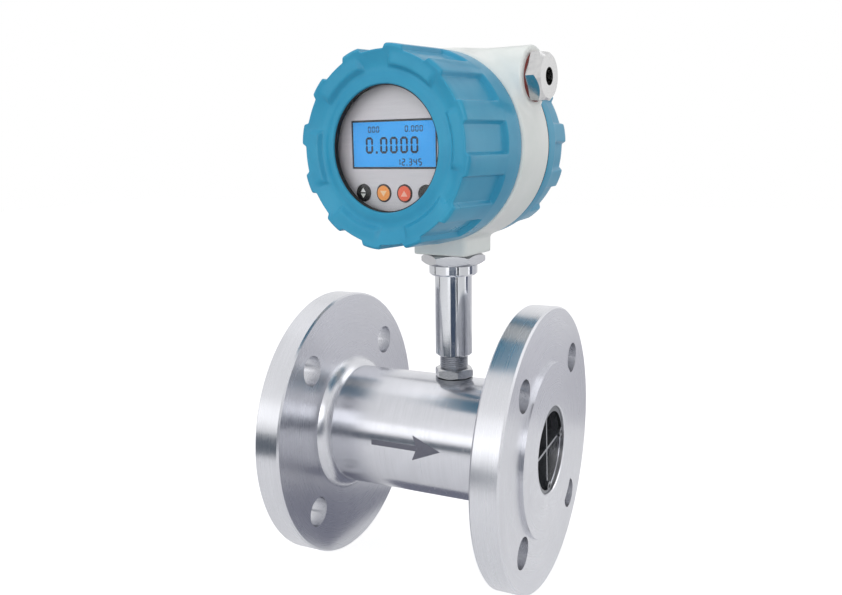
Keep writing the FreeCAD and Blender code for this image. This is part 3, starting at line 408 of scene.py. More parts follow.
def lit_screen_material():
    """Backlit liquid crystal: an even blue glow with a faint cloudiness 18 mm across."""
    material, tree, shader, place = textured("backlit liquid crystal")
    noise_tone(tree, shader, place, 18.0, linear("2C92DC"), linear("389CE4"), (0.3, 0.7), 2.0)
    tone = shader.inputs["Base Color"].links[0].from_socket
    tree.links.new(tone, shader.inputs["Emission Color"])
    shader.inputs["Emission Strength"].default_value = 0.2
    shader.inputs["Roughness"].default_value = 0.35
    shader.inputs["Specular IOR Level"].default_value = 0.2
    return material


finishes[window_material()] = ["window_glass"]
finishes[brushed_plate_material()] = ["display_plate"]
finishes[lit_screen_material()] = ["lcd_screen"]
print("glass, plate and screen ready")


# %% Key films
BORDER_RADIUS = 3.75
BORDER_BLUR = 0.1
FILM_GRAIN_MM = 0.5
FILM_DEPTH_MM = 0.01
INK_BLACK, INK_BROWN = "1E1B1C", "3A2320"


def key_film(name, node, colour, border):
    """Printed polyester film of a key: one colour, with a border beyond BORDER_RADIUS."""
    low, high = (np.array(corner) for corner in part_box(node))
    centre = (low + high) / 2
    material, tree, shader, place = textured(name)
    moved = add(tree, "ShaderNodeVectorMath", {"operation": "SUBTRACT"}, _0=place,
                _1=tuple(centre)).outputs[0]
    across = add(tree, "ShaderNodeVectorMath", {"operation": "CROSS_PRODUCT"}, _0=moved,
                 _1=tuple(fore_axis)).outputs[0]
    radius = add(tree, "ShaderNodeVectorMath", {"operation": "LENGTH"},
                 _0=across).outputs["Value"]
    grain = add(tree, "ShaderNodeTexNoise", Vector=place, Scale=per_metre(FILM_GRAIN_MM),
                Detail=3.0).outputs["Fac"]
    edge = add(tree, "ShaderNodeMapRange", Value=radius, _1=(BORDER_RADIUS - BORDER_BLUR) * MM,
               _2=(BORDER_RADIUS + BORDER_BLUR) * MM).outputs[0]
    film = add(tree, "ShaderNodeValToRGB", Fac=grain,
               stops=[(0.35, linear(colour, 0.93)), (0.65, linear(colour))]).outputs[0]
    tone = add(tree, "ShaderNodeMix", {"data_type": "RGBA"}, _0=edge, _6=film,
               _7=linear(border)).outputs[2]
    tree.links.new(tone, shader.inputs["Base Color"])
    add(tree, "ShaderNodeBump", Height=grain, Strength=0.3, Distance=FILM_DEPTH_MM * MM,
        into=shader.inputs["Normal"])
    shader.inputs["Roughness"].default_value = 0.38
    return material


KEY_FILMS = [("black key film", "key_menu", INK_BLACK, INK_BLACK),
             ("black key film, right", "key_enter", INK_BLACK, INK_BLACK),
             ("orange key film", "key_down", "F79C4C", INK_BROWN),
             ("red key film", "key_up", "F26849", INK_BROWN)]
for film in KEY_FILMS:
    finishes[key_film(*film)] = [film[1]]
print(len(finishes), "finishes")

# %% [markdown]
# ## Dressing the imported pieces
#
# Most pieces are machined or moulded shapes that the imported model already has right. They only
# need their finish, set in their own material slot. The last line lists any piece that was
# left without one.

# %% Finish of each node
finishes.update({
    turned_flange: ["inlet_flange", "outlet_flange", "inlet_weld", "outlet_weld"],
    brushed_tube: ["meter_tube"],
    polished_stem: ["stem_tube", "swivel_nipple", "pickup_shell"],
    milled_nut: ["pickup_lock_nut", "swivel_lock_nut"],
    white_enamel: ["housing_body", "partition_plate"],
    blue_enamel: ["front_cover", "rear_cover"],
})
for material, names in finishes.items():
    for name in names:
        mesh = nodes[name].data
        mesh.materials.clear()
        mesh.materials.append(material)
undressed = set(nodes) - {name for names in finishes.values() for name in names}
print("undressed nodes:", sorted(undressed))

# %% [markdown]
# ## Surfaces from formulas
#
# A cast cover is a turned shape whose outline changes as it goes round: lugs stand out of the
# skirt, pads stand out of the face, and every corner is soft because the mould was cut with a
# round tool. So the cover is worked out as a grid. One index walks along the section, from
# the mouth over the skirt, the rim and the face, the other goes round the axis. Two small
# functions give the softness: a smooth maximum and a smooth minimum, which round the meeting
# of two heights by a chosen size in millimetres.


# %% Soft maths and meshes
SAME_POINT = 1e-7
NO_LENGTH = 1e-8


def soft_max(a, b, k):
    """(a + b + sqrt((a - b)^2 + k^2)) / 2: the larger of two heights, its corner k wide."""
    return (a + b + np.sqrt((a - b) ** 2 + k * k)) / 2


def soft_min(a, b, k):
    """The smaller of two heights, its corner k wide."""
    return -soft_max(-a, -b, k)


def soft_step(t):
    """3 t^2 - 2 t^3 between 0 and 1, level outside."""
    t = np.clip(t, 0, 1)
    return t * t * (3 - 2 * t)


def mesh_piece(name, vertices, faces, material, crisp=False):
    """A closed mesh object with its faces turned outward.

    It is smooth-shaded and doubled points are merged, unless it is crisp.
    """
    mesh = bpy.data.meshes.new(name)
    mesh.from_pydata(np.asarray(vertices).tolist(), [], faces)
    work = bmesh.new()
    work.from_mesh(mesh)
    if not crisp:
        bmesh.ops.remove_doubles(work, verts=work.verts, dist=SAME_POINT)
        bmesh.ops.dissolve_degenerate(work, dist=NO_LENGTH, edges=work.edges)
    bmesh.ops.recalc_face_normals(work, faces=work.faces)
    work.to_mesh(mesh)
    work.free()
    if not crisp:
        mesh.shade_smooth()
    mesh.materials.append(material)
    print(name, len(mesh.polygons), "faces")
    return placed(name, mesh)


def grid_piece(name, points, material, capped=False):
    """Quads between neighbours of a (rows, columns, 3) array of metres, closed both ways.

    If capped, the first and last row close the ends of a tube instead.
    """
    rows, columns = points.shape[:2]
    index = np.arange(rows * columns).reshape(rows, columns)
    here = index[:-1] if capped else index
    down = np.roll(index, -1, 0)[: len(here)]
    faces = np.stack([here, np.roll(here, -1, 1), np.roll(down, -1, 1), down], -1)
    ends = [index[0].tolist(), index[-1].tolist()] if capped else []
    return mesh_piece(name, points.reshape(-1, 3), faces.reshape(-1, 4).tolist() + ends,
                      material)


def turned_ring(name, section, columns, material):
    """A closed section of (fore, radius) millimetres carried round the head's axis."""
    angles = np.linspace(0, 2 * math.pi, columns, endpoint=False)
    fore, radius = (np.array(values)[:, None] for values in zip(*section))
    points = from_head(fore + 0.0 * angles, radius * np.cos(angles), radius * np.sin(angles))
    return grid_piece(name, points, material)


print("surface tools ready")

# %% [markdown]
# ## The lugged covers
#
# Twelve lugs give a strap wrench something to hold. Between them the skirt sinks 2.6 mm, with a
# sloped end towards the plain band at the casing. The distance to the nearest lug edge, in
# millimetres along the rim, gives a wall that rises at a fixed slope and is rounded into both
# levels. The front face is a shallow dish, and six level pads stand out of it: their height
# above the dish is nothing at the rim and grows inwards, so their ends are long triangles.

# %% Cover sizes
# Millimetres, with depths from the cover's mouth and radii from the head's axis.
LUGS = 12
LUG_HALF_ANGLE = math.radians(6.25)
LUG_DEPTH = 2.6
FRONT_PHASE = math.radians(20.5)
REAR_PHASE = math.radians(8.5)
WALL_SLOPE = 2.2
WALL_FOOT = 0.5
WALL_ROUND = 0.8
WALL_HALF_ANGLE = math.radians(1.5)
PAD_COUNT = 6
PAD_PHASE = math.radians(5.5)
PAD_HALF_ANGLE = math.radians(21.0)
RIM_RADIUS = 50.0
SKIRT_RADIUS = 51.0
MOUTH_ROUND = 1.6
POCKET_RAMP = 3.0
RAMP_LEAD, RAMP_REACH = 0.4, 3.2
FRONT_BAND, REAR_BAND = 15.0, 9.0
POCKET_CORNER, LUG_CORNER_GAIN = 0.6, 1.1
# Heights on the faces are over the plane of the rim, so a dish lies below 0.
DISH_RADIUS, DISH_TOP = 47.4, -0.3
FRONT_SLOPE, FRONT_FLOOR = 0.47, -3.7
REAR_SLOPE, REAR_FLOOR = 0.28, -2.4
BEZEL_RADIUS, BEZEL_TOP, BEZEL_FOOT, BEZEL_SLOPE = 36.9, -2.35, -3.9, 0.6
PAD_RADIUS, PAD_TOP, PAD_SLOPE = 38.2, -0.5, 1.6
PAD_END_FOOT, PAD_FLANK_FOOT = -4.6, -4.1
FACE_ROUND, JOIN_ROUND, PAD_ROUND = 0.9, 0.8, 0.6
front_back, front_rim = (corner[0] for corner in head_box("front_cover"))
rear_rim, rear_back = (corner[0] for corner in head_box("rear_cover"))


def angle_columns(phase):
    """Angles once round, packed close where a lug's wall stands."""
    pitch = 2 * math.pi / LUGS
    wall, edge = WALL_HALF_ANGLE, LUG_HALF_ANGLE
    stops = [-edge + wall, edge - wall, edge + wall, pitch - edge - wall, pitch - edge + wall]
    one = np.concatenate([np.linspace(start, end, count, endpoint=False) for start, end, count
                          in zip(stops, stops[1:], (6, 13, 8, 13))])
    return np.concatenate([one + phase + k * pitch for k in range(LUGS)])


def from_nearest(angles, count, phase):
    """Angle from the nearest of count evenly spaced centres."""
    pitch = 2 * math.pi / count
    return np.abs((angles - phase + pitch / 2) % pitch - pitch / 2)


def lug_height(angles, phase):
    """0 on a lug, -LUG_DEPTH in a pocket: a wall of fixed slope rounded into both."""
    inside = (LUG_HALF_ANGLE - from_nearest(angles, LUGS, phase)) * RIM_RADIUS
    wall = (inside - WALL_FOOT) * WALL_SLOPE
    return soft_min(soft_max(wall, -LUG_DEPTH, WALL_ROUND), 0.0, WALL_ROUND)


def skirt_radius(depth, angles, band, length, phase):
    """Outer radius at a depth from the cover's mouth: plain band, then lugs and pockets."""
    along = np.clip((depth - band) / (length - band), 0, 1)
    line = SKIRT_RADIUS + (RIM_RADIUS - SKIRT_RADIUS) * along
    sink = soft_step((depth - band) / POCKET_RAMP)
    return line + sink * lug_height(angles, phase)


def front_face(radius, angles):
    """Height of the front face over the rim plane: dish, bezel and pads, softly joined."""
    dish = soft_max(DISH_TOP - (DISH_RADIUS - radius) * FRONT_SLOPE, FRONT_FLOOR, FACE_ROUND)
    bezel = soft_min(BEZEL_TOP, BEZEL_FOOT + (BEZEL_RADIUS - radius) * BEZEL_SLOPE, FACE_ROUND)
    floor = soft_max(dish, bezel, JOIN_ROUND)
    inside = (PAD_HALF_ANGLE - from_nearest(angles, PAD_COUNT, PAD_PHASE)) * radius
    ends = inside * PAD_SLOPE + PAD_END_FOOT
    flank = (radius - PAD_RADIUS) * PAD_SLOPE + PAD_FLANK_FOOT
    pad = soft_min(soft_min(ends, flank, JOIN_ROUND), PAD_TOP, FACE_ROUND)
    return soft_max(floor, pad, PAD_ROUND)


def rear_face(radius, angles):
    """Height of the blind cover's back over its rim plane: a plain dish with a flat floor."""
    dish = soft_max(DISH_TOP - (DISH_RADIUS - radius) * REAR_SLOPE, REAR_FLOOR, FACE_ROUND)
    return dish + 0.0 * angles


def lugged_cover(name, direction, mouth, length, band, phase, face, inner_radius, inside):
    """Closed grid of one cover: skirt, rim and face from formulas, the inside as given.

    Each row is an array over the angles of fore (from the mouth) and radius.
    """
    angles = angle_columns(phase)
    flat = np.zeros_like(angles)
    rows = []
    for theta in np.linspace(0, math.pi / 2, 5):
        rows.append((MOUTH_ROUND * (1 - math.sin(theta)) + flat,
                     SKIRT_RADIUS - MOUTH_ROUND * (1 - math.cos(theta)) + flat))
    rows.reverse()
    for depth in np.linspace(MOUTH_ROUND, band - RAMP_LEAD, 4)[1:]:
        rows.append((depth + flat, SKIRT_RADIUS + flat))
    for depth in np.linspace(band, band + RAMP_REACH, 9):
        rows.append((depth + flat, skirt_radius(depth, angles, band, length, phase)))
    on_lug = 1 + lug_height(angles, phase) / LUG_DEPTH
    corner = POCKET_CORNER + LUG_CORNER_GAIN * on_lug
    edge = skirt_radius(length, angles, band, length, phase)
    top = length + face(edge - corner, angles)
    for share in np.linspace(0, 1, 10)[1:]:
        depth = band + RAMP_REACH + share * (top - corner - band - RAMP_REACH)
        rows.append((depth, skirt_radius(depth, angles, band, length, phase)))
    for theta in np.linspace(0, math.pi / 2, 8)[1:]:
        rows.append((top - corner * (1 - math.sin(theta)),
                     edge - corner * (1 - math.cos(theta))))
    for share in np.linspace(0, 1, 52)[1:]:
        radius = (edge - corner) * (1 - share) + inner_radius * share
        rows.append((length + face(radius, angles), radius))
    for depth, radius in inside:
        rows.append((depth + flat, radius + flat))
    depth = np.array([row[0] for row in rows])
    radius = np.array([row[1] for row in rows])
    fore = mouth + direction * depth
    points = from_head(fore, radius * np.cos(angles), radius * np.sin(angles))
    return grid_piece(name, points, blue_enamel)


WINDOW_RADIUS = 31.6
GASKET_RADIUS = 40.2
GLASS_LIP = 0.8
LIP_INSET = 0.5
NOSE_DEPTH, NOSE_TIP, NOSE_INSET = 3.2, 0.5, 0.35
SEAL_SEAT, MOUTH_RELIEF, RING_GAP = 2.4, 3.0, 0.2
THREAD_DEPTH = 12.5
MOUTH_DEPTH = 2.6
MOUTH_FACE_RADIUS = 48.5
BLIND_WALL, BLIND_FILLET = 6.0, 1.5
glass_back, glass_front = (corner[0] for corner in head_box("window_glass"))
thread_radius = head_radius("front_cover_seal") - SEAL_SEAT
mouth_radius = thread_radius + MOUTH_RELIEF
chamber_radius = head_radius("glass_retainer") + RING_GAP
mouth = [(MOUTH_DEPTH, thread_radius), (MOUTH_DEPTH, mouth_radius), (0.0, mouth_radius),
         (0.0, MOUTH_FACE_RADIUS)]
front_length = front_rim - front_back
lip_radius = WINDOW_RADIUS - LIP_INSET
lip_back = glass_front + GLASS_LIP - front_back
seat = glass_back - front_back
front_inside = [(front_length + BEZEL_TOP - NOSE_TIP, WINDOW_RADIUS - NOSE_INSET),
                (front_length - NOSE_DEPTH, lip_radius), (lip_back, lip_radius),
                (lip_back, GASKET_RADIUS), (seat, GASKET_RADIUS), (seat, chamber_radius),
                (THREAD_DEPTH, chamber_radius), (THREAD_DEPTH, thread_radius)] + mouth
front_skin = lugged_cover("lugged_window_cover", 1, front_back, front_length, FRONT_BAND,
                          FRONT_PHASE, front_face, WINDOW_RADIUS, front_inside)
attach(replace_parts(front_skin, "front_cover"), "front_cover")

rear_length = rear_back - rear_rim
floor_depth = rear_length - BLIND_WALL
rear_inside = [(floor_depth, 0.0), (floor_depth, thread_radius - BLIND_FILLET),
               (floor_depth - BLIND_FILLET, thread_radius)] + mouth
rear_skin = lugged_cover("lugged_blind_cover", -1, rear_back, rear_length, REAR_BAND,
                         REAR_PHASE, rear_face, 0.0, rear_inside)
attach(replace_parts(rear_skin, "rear_cover"), "rear_cover")

# %% [markdown]
# ## Window trim and painted shade
#
# The edge of the toughened glass is hidden by a black rubber trim that lines the opening. Its
# black
# is partly painted shade: it also stands for the shadow that falls in the window's recess. Seen
# from one side it shows as a dark crescent, which gives the window its depth. It is a plain ring,
# from the glass to just short of the bezel's round nose.

# %% Window trim and painted shade
TRIM_WALL = 0.4
TRIM_GAP = 0.05
TRIM_STOP = 3.4
trim_back, trim_front = glass_front + TRIM_GAP, front_rim - TRIM_STOP
trim_outer = WINDOW_RADIUS - LIP_INSET - TRIM_GAP
trim_inner = trim_outer - TRIM_WALL
# Painted shade: the trim's black is partly the rubber's own colour and partly stands for the
# shadow in the window's recess.
trim = turned_ring("window_trim_and_shade", [(trim_back, trim_inner), (trim_front, trim_inner),
                                   (trim_front, trim_outer), (trim_back, trim_outer)],
                   144, rubber)
trim.data.shade_flat()
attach(trim, "front_cover")
print("window trim", round(trim_front - glass_front, 2), "mm deep")

# %% [markdown]
# ## The cast housing
#
# The middle of the head is one casting: a round casing, a barrel across it for the two cable
# entries, a square boss below for the stem, and a neck on each side for a cover. A founder
# never leaves a sharp inside corner, because it tears as the metal cools, so every meeting has
# a hollow fillet. Fillets between a cylinder and another are awkward as patches, but easy as a
# field: each form is the distance to its own skin, a smooth minimum joins two forms, and the
# casting's skin is where the field is zero. The skin is then drawn cell by cell, one point in
# each cell that the skin crosses, and each point is slid on to the skin along the gradient.

# %% Housing sizes
casing_low, casing_high = -15.6, 16.7
CASING_RADIUS = 51.9
CASING_BORE = head_radius("partition_plate") + 0.1
NECK_RADIUS = 42.6
BARREL_RISE = 35.4
BARREL_RADIUS = 16.15
BARREL_HALF_SPAN = head_box("gland_washer")[0][1]
ENTRY_RADIUS = 9.6
ENTRY_END = 24.8
BOSS_HALF = 17.2
BOSS_CORNER = 3.0
SWIVEL_RADIUS = 10.1
SWIVEL_END = -30.0
CASING_EDGE, BARREL_EDGE, BOSS_EDGE, NECK_EDGE, BORE_EDGE = 1.6, 1.3, 0.9, 0.6, 0.5
BARREL_FILLET, BOSS_FILLET, NECK_FILLET, CUT_ROUND = 6.0, 2.0, 1.0, 0.9
housing_low, housing_high = head_box("housing_body")


# %% Field of the casting
def inside_corner(a, b, edge):
    """Distance to two skins that meet at an outer corner, rounded by edge."""
    a, b = a + edge, b + edge
    return np.minimum(np.maximum(a, b), 0) + np.hypot(np.maximum(a, 0), np.maximum(b, 0)) - edge


def filleted(a, b, k):
    """min(a, b) - k h^2 / 4, with h = 1 - |a - b| / k where positive: a hollow k wide."""
    h = np.maximum(1 - np.abs(a - b) / k, 0)
    return np.minimum(a, b) - h * h * k / 4


def casting(fore, side, rise):
    """Negative in metal, positive in air, about the distance to the skin in millimetres."""
    middle = (casing_low + casing_high) / 2
    half = (casing_high - casing_low) / 2
    out = np.hypot(side, rise)
    disc = inside_corner(out - CASING_RADIUS, np.abs(fore - middle) - half, CASING_EDGE)
    across = np.hypot(fore - middle, rise - BARREL_RISE)
    barrel = inside_corner(across - BARREL_RADIUS, np.abs(side) - BARREL_HALF_SPAN,
                           BARREL_EDGE)
    square = inside_corner(np.abs(side) - BOSS_HALF, np.abs(fore - middle) - half, BOSS_CORNER)
    boss = np.maximum(inside_corner(square, housing_low[2] - rise, BOSS_EDGE), rise)
    ends = np.maximum(housing_low[0] - fore, fore - housing_high[0])
    neck = inside_corner(out - NECK_RADIUS, ends, NECK_EDGE)
    metal = filleted(filleted(disc, barrel, BARREL_FILLET), boss, BOSS_FILLET)
    metal = filleted(metal, neck, NECK_FILLET)
    bore = CASING_BORE - out
    entries = -inside_corner(across - ENTRY_RADIUS, ENTRY_END - np.abs(side), BORE_EDGE)
    swivel = -inside_corner(np.hypot(fore, side) - SWIVEL_RADIUS, rise - SWIVEL_END, BORE_EDGE)
    for cut in (bore, entries, swivel):
        metal = -filleted(-metal, -cut, CUT_ROUND)
    return metal


# %% Skin of a field
CELL_MM = 0.85
MARGIN_MM = 1.3
PROBE_MM = 0.01
NEWTON_STEPS = 4
LEAST_SLOPE = 0.5


def field_skin(field, low, high, step):
    """Quads where field is 0 between two corners: one point a cell, then Newton steps.

    Each grid edge whose ends differ in sign gives a crossing. A cell's point is the mean of
    its crossings, and each crossing edge becomes a quad of the four cells around it.
    """
    axes = [np.arange(a, b + step, step) for a, b in zip(low, high)]
    grid = np.stack(np.meshgrid(*axes, indexing="ij"), -1)
    value = field(grid[..., 0], grid[..., 1], grid[..., 2])
    cells = np.array(value.shape)
    number = np.arange(value.size).reshape(value.shape)
    total = np.zeros((value.size, 3))
    count = np.zeros(value.size)
    quads = []
    for axis in range(3):
        first = [slice(None)] * 3
        second = [slice(None)] * 3
        first[axis], second[axis] = slice(0, -1), slice(1, None)
        a, b = value[tuple(first)], value[tuple(second)]
        crossed = np.argwhere((a < 0) != (b < 0))
        at = tuple(crossed.T)
        share = a[at] / (a[at] - b[at])
        point = grid[tuple(first)][at].copy()
        point[:, axis] += share * step
        u, v = (axis + 1) % 3, (axis + 2) % 3
        around = []
        for du, dv in ((0, 0), (1, 0), (1, 1), (0, 1)):
            cell = crossed.copy()
            cell[:, u] -= du
            cell[:, v] -= dv
            around.append(number[tuple(cell.T)])
        for cell in around:
            np.add.at(total, cell, point)
            np.add.at(count, cell, 1)
        quad = np.stack(around, 1)
        quads.append(np.where((a[at] < 0)[:, None], quad, quad[:, ::-1]))
    used = np.flatnonzero(count)
    renumber = np.zeros(len(count), int)
    renumber[used] = np.arange(len(used))
    points = total[used] / count[used][:, None]
    for _ in range(NEWTON_STEPS):
        here = field(*points.T)
        slope = np.stack([(field(*(points + d).T) - field(*(points - d).T)) / (2 * PROBE_MM)
                          for d in np.eye(3) * PROBE_MM], 1)
        square = np.maximum((slope ** 2).sum(1), LEAST_SLOPE ** 2)
        move = (here / square)[:, None] * slope
        points = points - np.clip(move, -step / 2, step / 2)
    print(tuple(cells), "samples,", len(points), "points")
    return points, renumber[np.concatenate(quads)]


skin_points, skin_quads = field_skin(casting, housing_low - MARGIN_MM,
                                     housing_high + MARGIN_MM, CELL_MM)
housing = mesh_piece("cast_housing", from_head(*skin_points.T), skin_quads.tolist(),
                     white_enamel)
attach(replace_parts(housing, "housing_body"), "head")

# %% [markdown]
# ## The black seals at the joints
#
# Each cover squeezes a black rubber ring against the casing. Its outer lip shows as a thin dark
# line in the joint, which is what makes the head read as three parts. The ring is a closed
# profile carried round the axis: a plain round cord inside the mouth, and a thin lip that
# runs out through the joint.


# %% Joint seals
LIP_ROUND = 0.3
LIP_ROOT = 0.6
LIP_RADIUS = 51.3
LIP_CLEARANCE = 0.08, 0.06
CORD_STEPS = 24


def joint_seal(name, node, near, far, lip_radius):
    """Ring of the cord section of a node, with a lip from it to lip_radius in the joint."""
    low, high = head_box(node)
    outer, cord = head_radius(node), (high[0] - low[0]) / 2
    middle = (high[0] + low[0]) / 2
    side = math.copysign(1.0, near)
    shoulder = lip_radius - LIP_ROUND
    inset = LIP_ROUND * side * 0.5
    lip = [(near, outer - LIP_ROOT), (near, shoulder), (near + inset, lip_radius),
           (far - inset, lip_radius), (far, shoulder), (far, outer - LIP_ROOT)]
    turn = np.linspace(0, 2 * math.pi, CORD_STEPS, endpoint=False)
    section = lip + [(middle + cord * math.sin(t) * side, outer - cord - cord * math.cos(t))
                     for t in turn[4:21]]
    return turned_ring(name, section, 120, rubber)


rear_seal = joint_seal("rear_joint_seal", "rear_cover_seal", casing_low - LIP_CLEARANCE[0],
                       rear_back + LIP_CLEARANCE[1], LIP_RADIUS)
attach(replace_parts(rear_seal, "rear_cover_seal"), "rear_seal")

# %% [markdown]
# ## Screw threads
#
# A thread is a ridge wound round a cylinder. Its radius depends only on how far a point is
# along the axis less how far it has turned, so one smooth wave of that difference draws the
# whole helix. The wave is steepened to look like a 60-degree thread and fades out at both
# ends, as a die leaves it.


# %% Threads
ROWS_A_TURN = 10
THREAD_COLUMNS = 96
FLANK_STEEPNESS = 2.5


def thread_piece(name, place, start, end, root, crest, pitch, wall, material, body):
    """Closed sleeve: radius = root + (crest - root) wave((x / pitch - turn) mod 1) fade(x)."""
    angles = np.linspace(0, 2 * math.pi, THREAD_COLUMNS, endpoint=False)
    count = int(abs(end - start) / pitch * ROWS_A_TURN)
    along = np.linspace(start, end, count)[:, None]
    phase = (along / pitch - angles / (2 * math.pi)) % 1
    wave = soft_step(FLANK_STEEPNESS / 2 - np.abs(phase - 0.5) * FLANK_STEEPNESS)
    reach = np.minimum(np.abs(along - start), np.abs(end - along)) / pitch
    outer = root + (crest - root) * wave * soft_step(reach)
    inner = np.full((1, len(angles)), root - wall)
    radius = np.concatenate([inner, outer, inner])
    along = np.concatenate([[[start]], along, [[end]]]) + 0.0 * radius
    points = place(along, radius * np.cos(angles), radius * np.sin(angles))
    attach(grid_piece(name, points, material), body)


def on_stem(up, x, y):
    """Millimetres up the stem's own axis."""
    return MM * np.stack([stem_x / MM + x, y + 0.0 * x, up + 0.0 * x], -1)


machined_thread = turned_metal("machined stainless thread", "8E9198", 0.25, 0.3, 0.006,
                               axis=2, centre=stem_line, anisotropy=0.3)
bare_casting = grained("machined aluminium thread", "C9CCCC", "B7BABB", 0.5, 0.34, 0.9)
NECK_ROOT, NECK_CREST, NECK_PITCH, NECK_WALL = NECK_RADIUS + 0.02, 43.55, 2.0, 0.3
PICKUP_ROOT, PICKUP_CREST, PICKUP_PITCH, PICKUP_WALL = 7.83, 8.25, 1.25, 0.02
for side, start, end in (("front", casing_high + 0.5, housing_high[0] - 0.9),
                         ("rear", casing_low - 0.5, housing_low[0] + 0.9)):
    thread_piece(side + "_neck_thread", from_head, start, end, NECK_ROOT, NECK_CREST,
                 NECK_PITCH, NECK_WALL, bare_casting, "head")
nut_top = vertices_of("pickup_lock_nut")[:, 2].max() / MM
stem_foot = vertices_of("stem_tube")[:, 2].min() / MM
thread_piece("pickup_thread", on_stem, nut_top + 0.05, stem_foot - 0.3, PICKUP_ROOT,
             PICKUP_CREST, PICKUP_PITCH, PICKUP_WALL, machined_thread, "pipe")

# %% [markdown]
# ## Ink, legends and the reading
#
# Screen print is ink laid 0.05 mm thick. Each mark is one convex outline given a thickness, so
# it is a thin solid and not a loose sheet. The reading on the glass is built from the seven
# bars of a liquid-crystal numeral. Bars with pointed ends leave the fine gaps between segments
# that such a display has. Words and names are left off, and the numbers are only an example.


# %% Ink marks
INK = 0.05
INK_LIFT = 0.01


def ink_marks(name, outlines, place, material, body):
    """Convex outlines of (u, v) millimetres, each extruded by INK; place(u, v, w) gives metres."""
    vertices, faces = [], []
    for outline in outlines:
        outline = np.asarray(outline, float)
        start, count = len(vertices), len(outline)
        for level in (0.0, INK):
            vertices.extend(place(outline[:, 0], outline[:, 1], level).tolist())
        ring = np.arange(count)
        faces.append((start + ring[::-1]).tolist())
        faces.append((start + count + ring).tolist())
        ahead = (ring + 1) % count
        sides = np.stack([ring, ahead, ahead + count, ring + count], 1) + start
        faces.extend(sides.tolist())
    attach(mesh_piece(name, vertices, faces, material, crisp=True), body)


def on_head(level, centre=(0.0, 0.0)):
    """Places (u, v, w) to the right of, above and in front of a point of the head."""
    return lambda u, v, w: from_head(level + w, centre[0] + u, centre[1] + v)


def rectangle(u0, v0, u1, v1):
    """The four corners of an upright rectangle, from two opposite ones."""
    return [(u0, v0), (u1, v0), (u1, v1), (u0, v1)]


black_ink = grained("black screen ink", "1A1A1C", "121214", 0.3, 0.5)
white_ink = grained("white screen ink", "F0EEEC", "E4E2E0", 0.3, 0.5)
segment_ink = grained("liquid crystal segment", "10233F", "0C1B33", 0.3, 0.6)
peach_ink = grained("peach screen ink", "F7CFA9", "F1C498", 0.3, 0.5)
rose_ink = grained("rose screen ink", "F6B6A4", "F0AA97", 0.3, 0.5)
print("inks ready")

# %% Reading on the screen
POINT_SHARE = 0.45
BAR_GAP = 0.03
SEGMENTS_OF = {"0": "abcdef", "1": "bc", "2": "abged", "3": "abgcd", "4": "fgbc", "5": "afgcd",
               "6": "afgedc", "7": "abc", "8": "abcdefg", "9": "abcfgd"}


def bar(u0, v0, u1, v1, width):
    """A segment: a bar from one point to another with 45-degree pointed ends."""
    start, end = np.array([u0, v0]), np.array([u1, v1])
    along = (end - start) / np.hypot(*(end - start))
    across = np.array([-along[1], along[0]]) * width / 2
    tip = along * width / 2
    return [start, start + tip - across, end - tip - across, end, end - tip + across,
            start + tip + across]


def numerals(text, left, base, height, width, pitch, stroke):
    """Outlines of a row of seven-segment numerals; a point takes POINT_SHARE of a pitch."""
    low, middle, high = base + stroke / 2, base + height / 2, base + height - stroke / 2
    gap = stroke * BAR_GAP
    marks = []
    for letter in text:
        near, far = left + stroke / 2, left + width - stroke / 2
        ends = {"a": (near, high, far, high), "b": (far, high, far, middle),
                "c": (far, middle, far, low), "d": (near, low, far, low),
                "e": (near, low, near, middle), "f": (near, middle, near, high),
                "g": (near, middle, far, middle)}
        for segment in SEGMENTS_OF.get(letter, ""):
            u0, v0, u1, v1 = ends[segment]
            du, dv = np.sign(u1 - u0) * gap, np.sign(v1 - v0) * gap
            marks.append(bar(u0 + du, v0 + dv, u1 - du, v1 - dv, stroke))
        if letter == ".":
            marks.append(rectangle(left, base, left + stroke, base + stroke))
        left += pitch * (POINT_SHARE if letter == "." else 1.0)
    return marks


screen_low, screen_high = head_box("lcd_screen")
screen_width, screen_height = (screen_high - screen_low)[1:]
screen = on_head(screen_high[0] + INK_LIFT, screen_low[1:])
LARGE, SMALL, LOWER = (8.2, 4.5, 6.1, 1.15), (3.1, 1.9, 2.5, 0.5), (3.5, 2.1, 2.85, 0.55)
ROWS = (("0.0000", 8.6, 7.5, LARGE), ("000", 10.2, 17.9, SMALL),
        ("0.000", 32.5, 17.9, SMALL), ("12.345", 27.4, 1.5, LOWER))
reading = [mark for text, left, base, sizes in ROWS
           for mark in numerals(text, left, base, *sizes)]
ink_marks("screen_reading", reading, screen, segment_ink, "head")
FRAME_WIDTH = 0.85
edge_u, edge_v = screen_width - FRAME_WIDTH, screen_height - FRAME_WIDTH
ink_marks("screen_frame",
          [rectangle(0, 0, screen_width, FRAME_WIDTH),
           rectangle(0, edge_v, screen_width, screen_height),
           rectangle(0, FRAME_WIDTH, FRAME_WIDTH, edge_v),
           rectangle(edge_u, FRAME_WIDTH, screen_width, edge_v)], screen, black_ink, "head")

# %% Key legends
UP = [(-1.0, 0.0), (1.0, 0.0), (0.0, 1.0)]
DOWN = [(-1.0, 0.0), (0.0, -1.0), (1.0, 0.0)]


def symbol(triangle, half_width, height, lift):
    """A unit triangle scaled to half_width by height, with its base at lift."""
    return [(u * half_width, v * height + lift) for u, v in triangle]


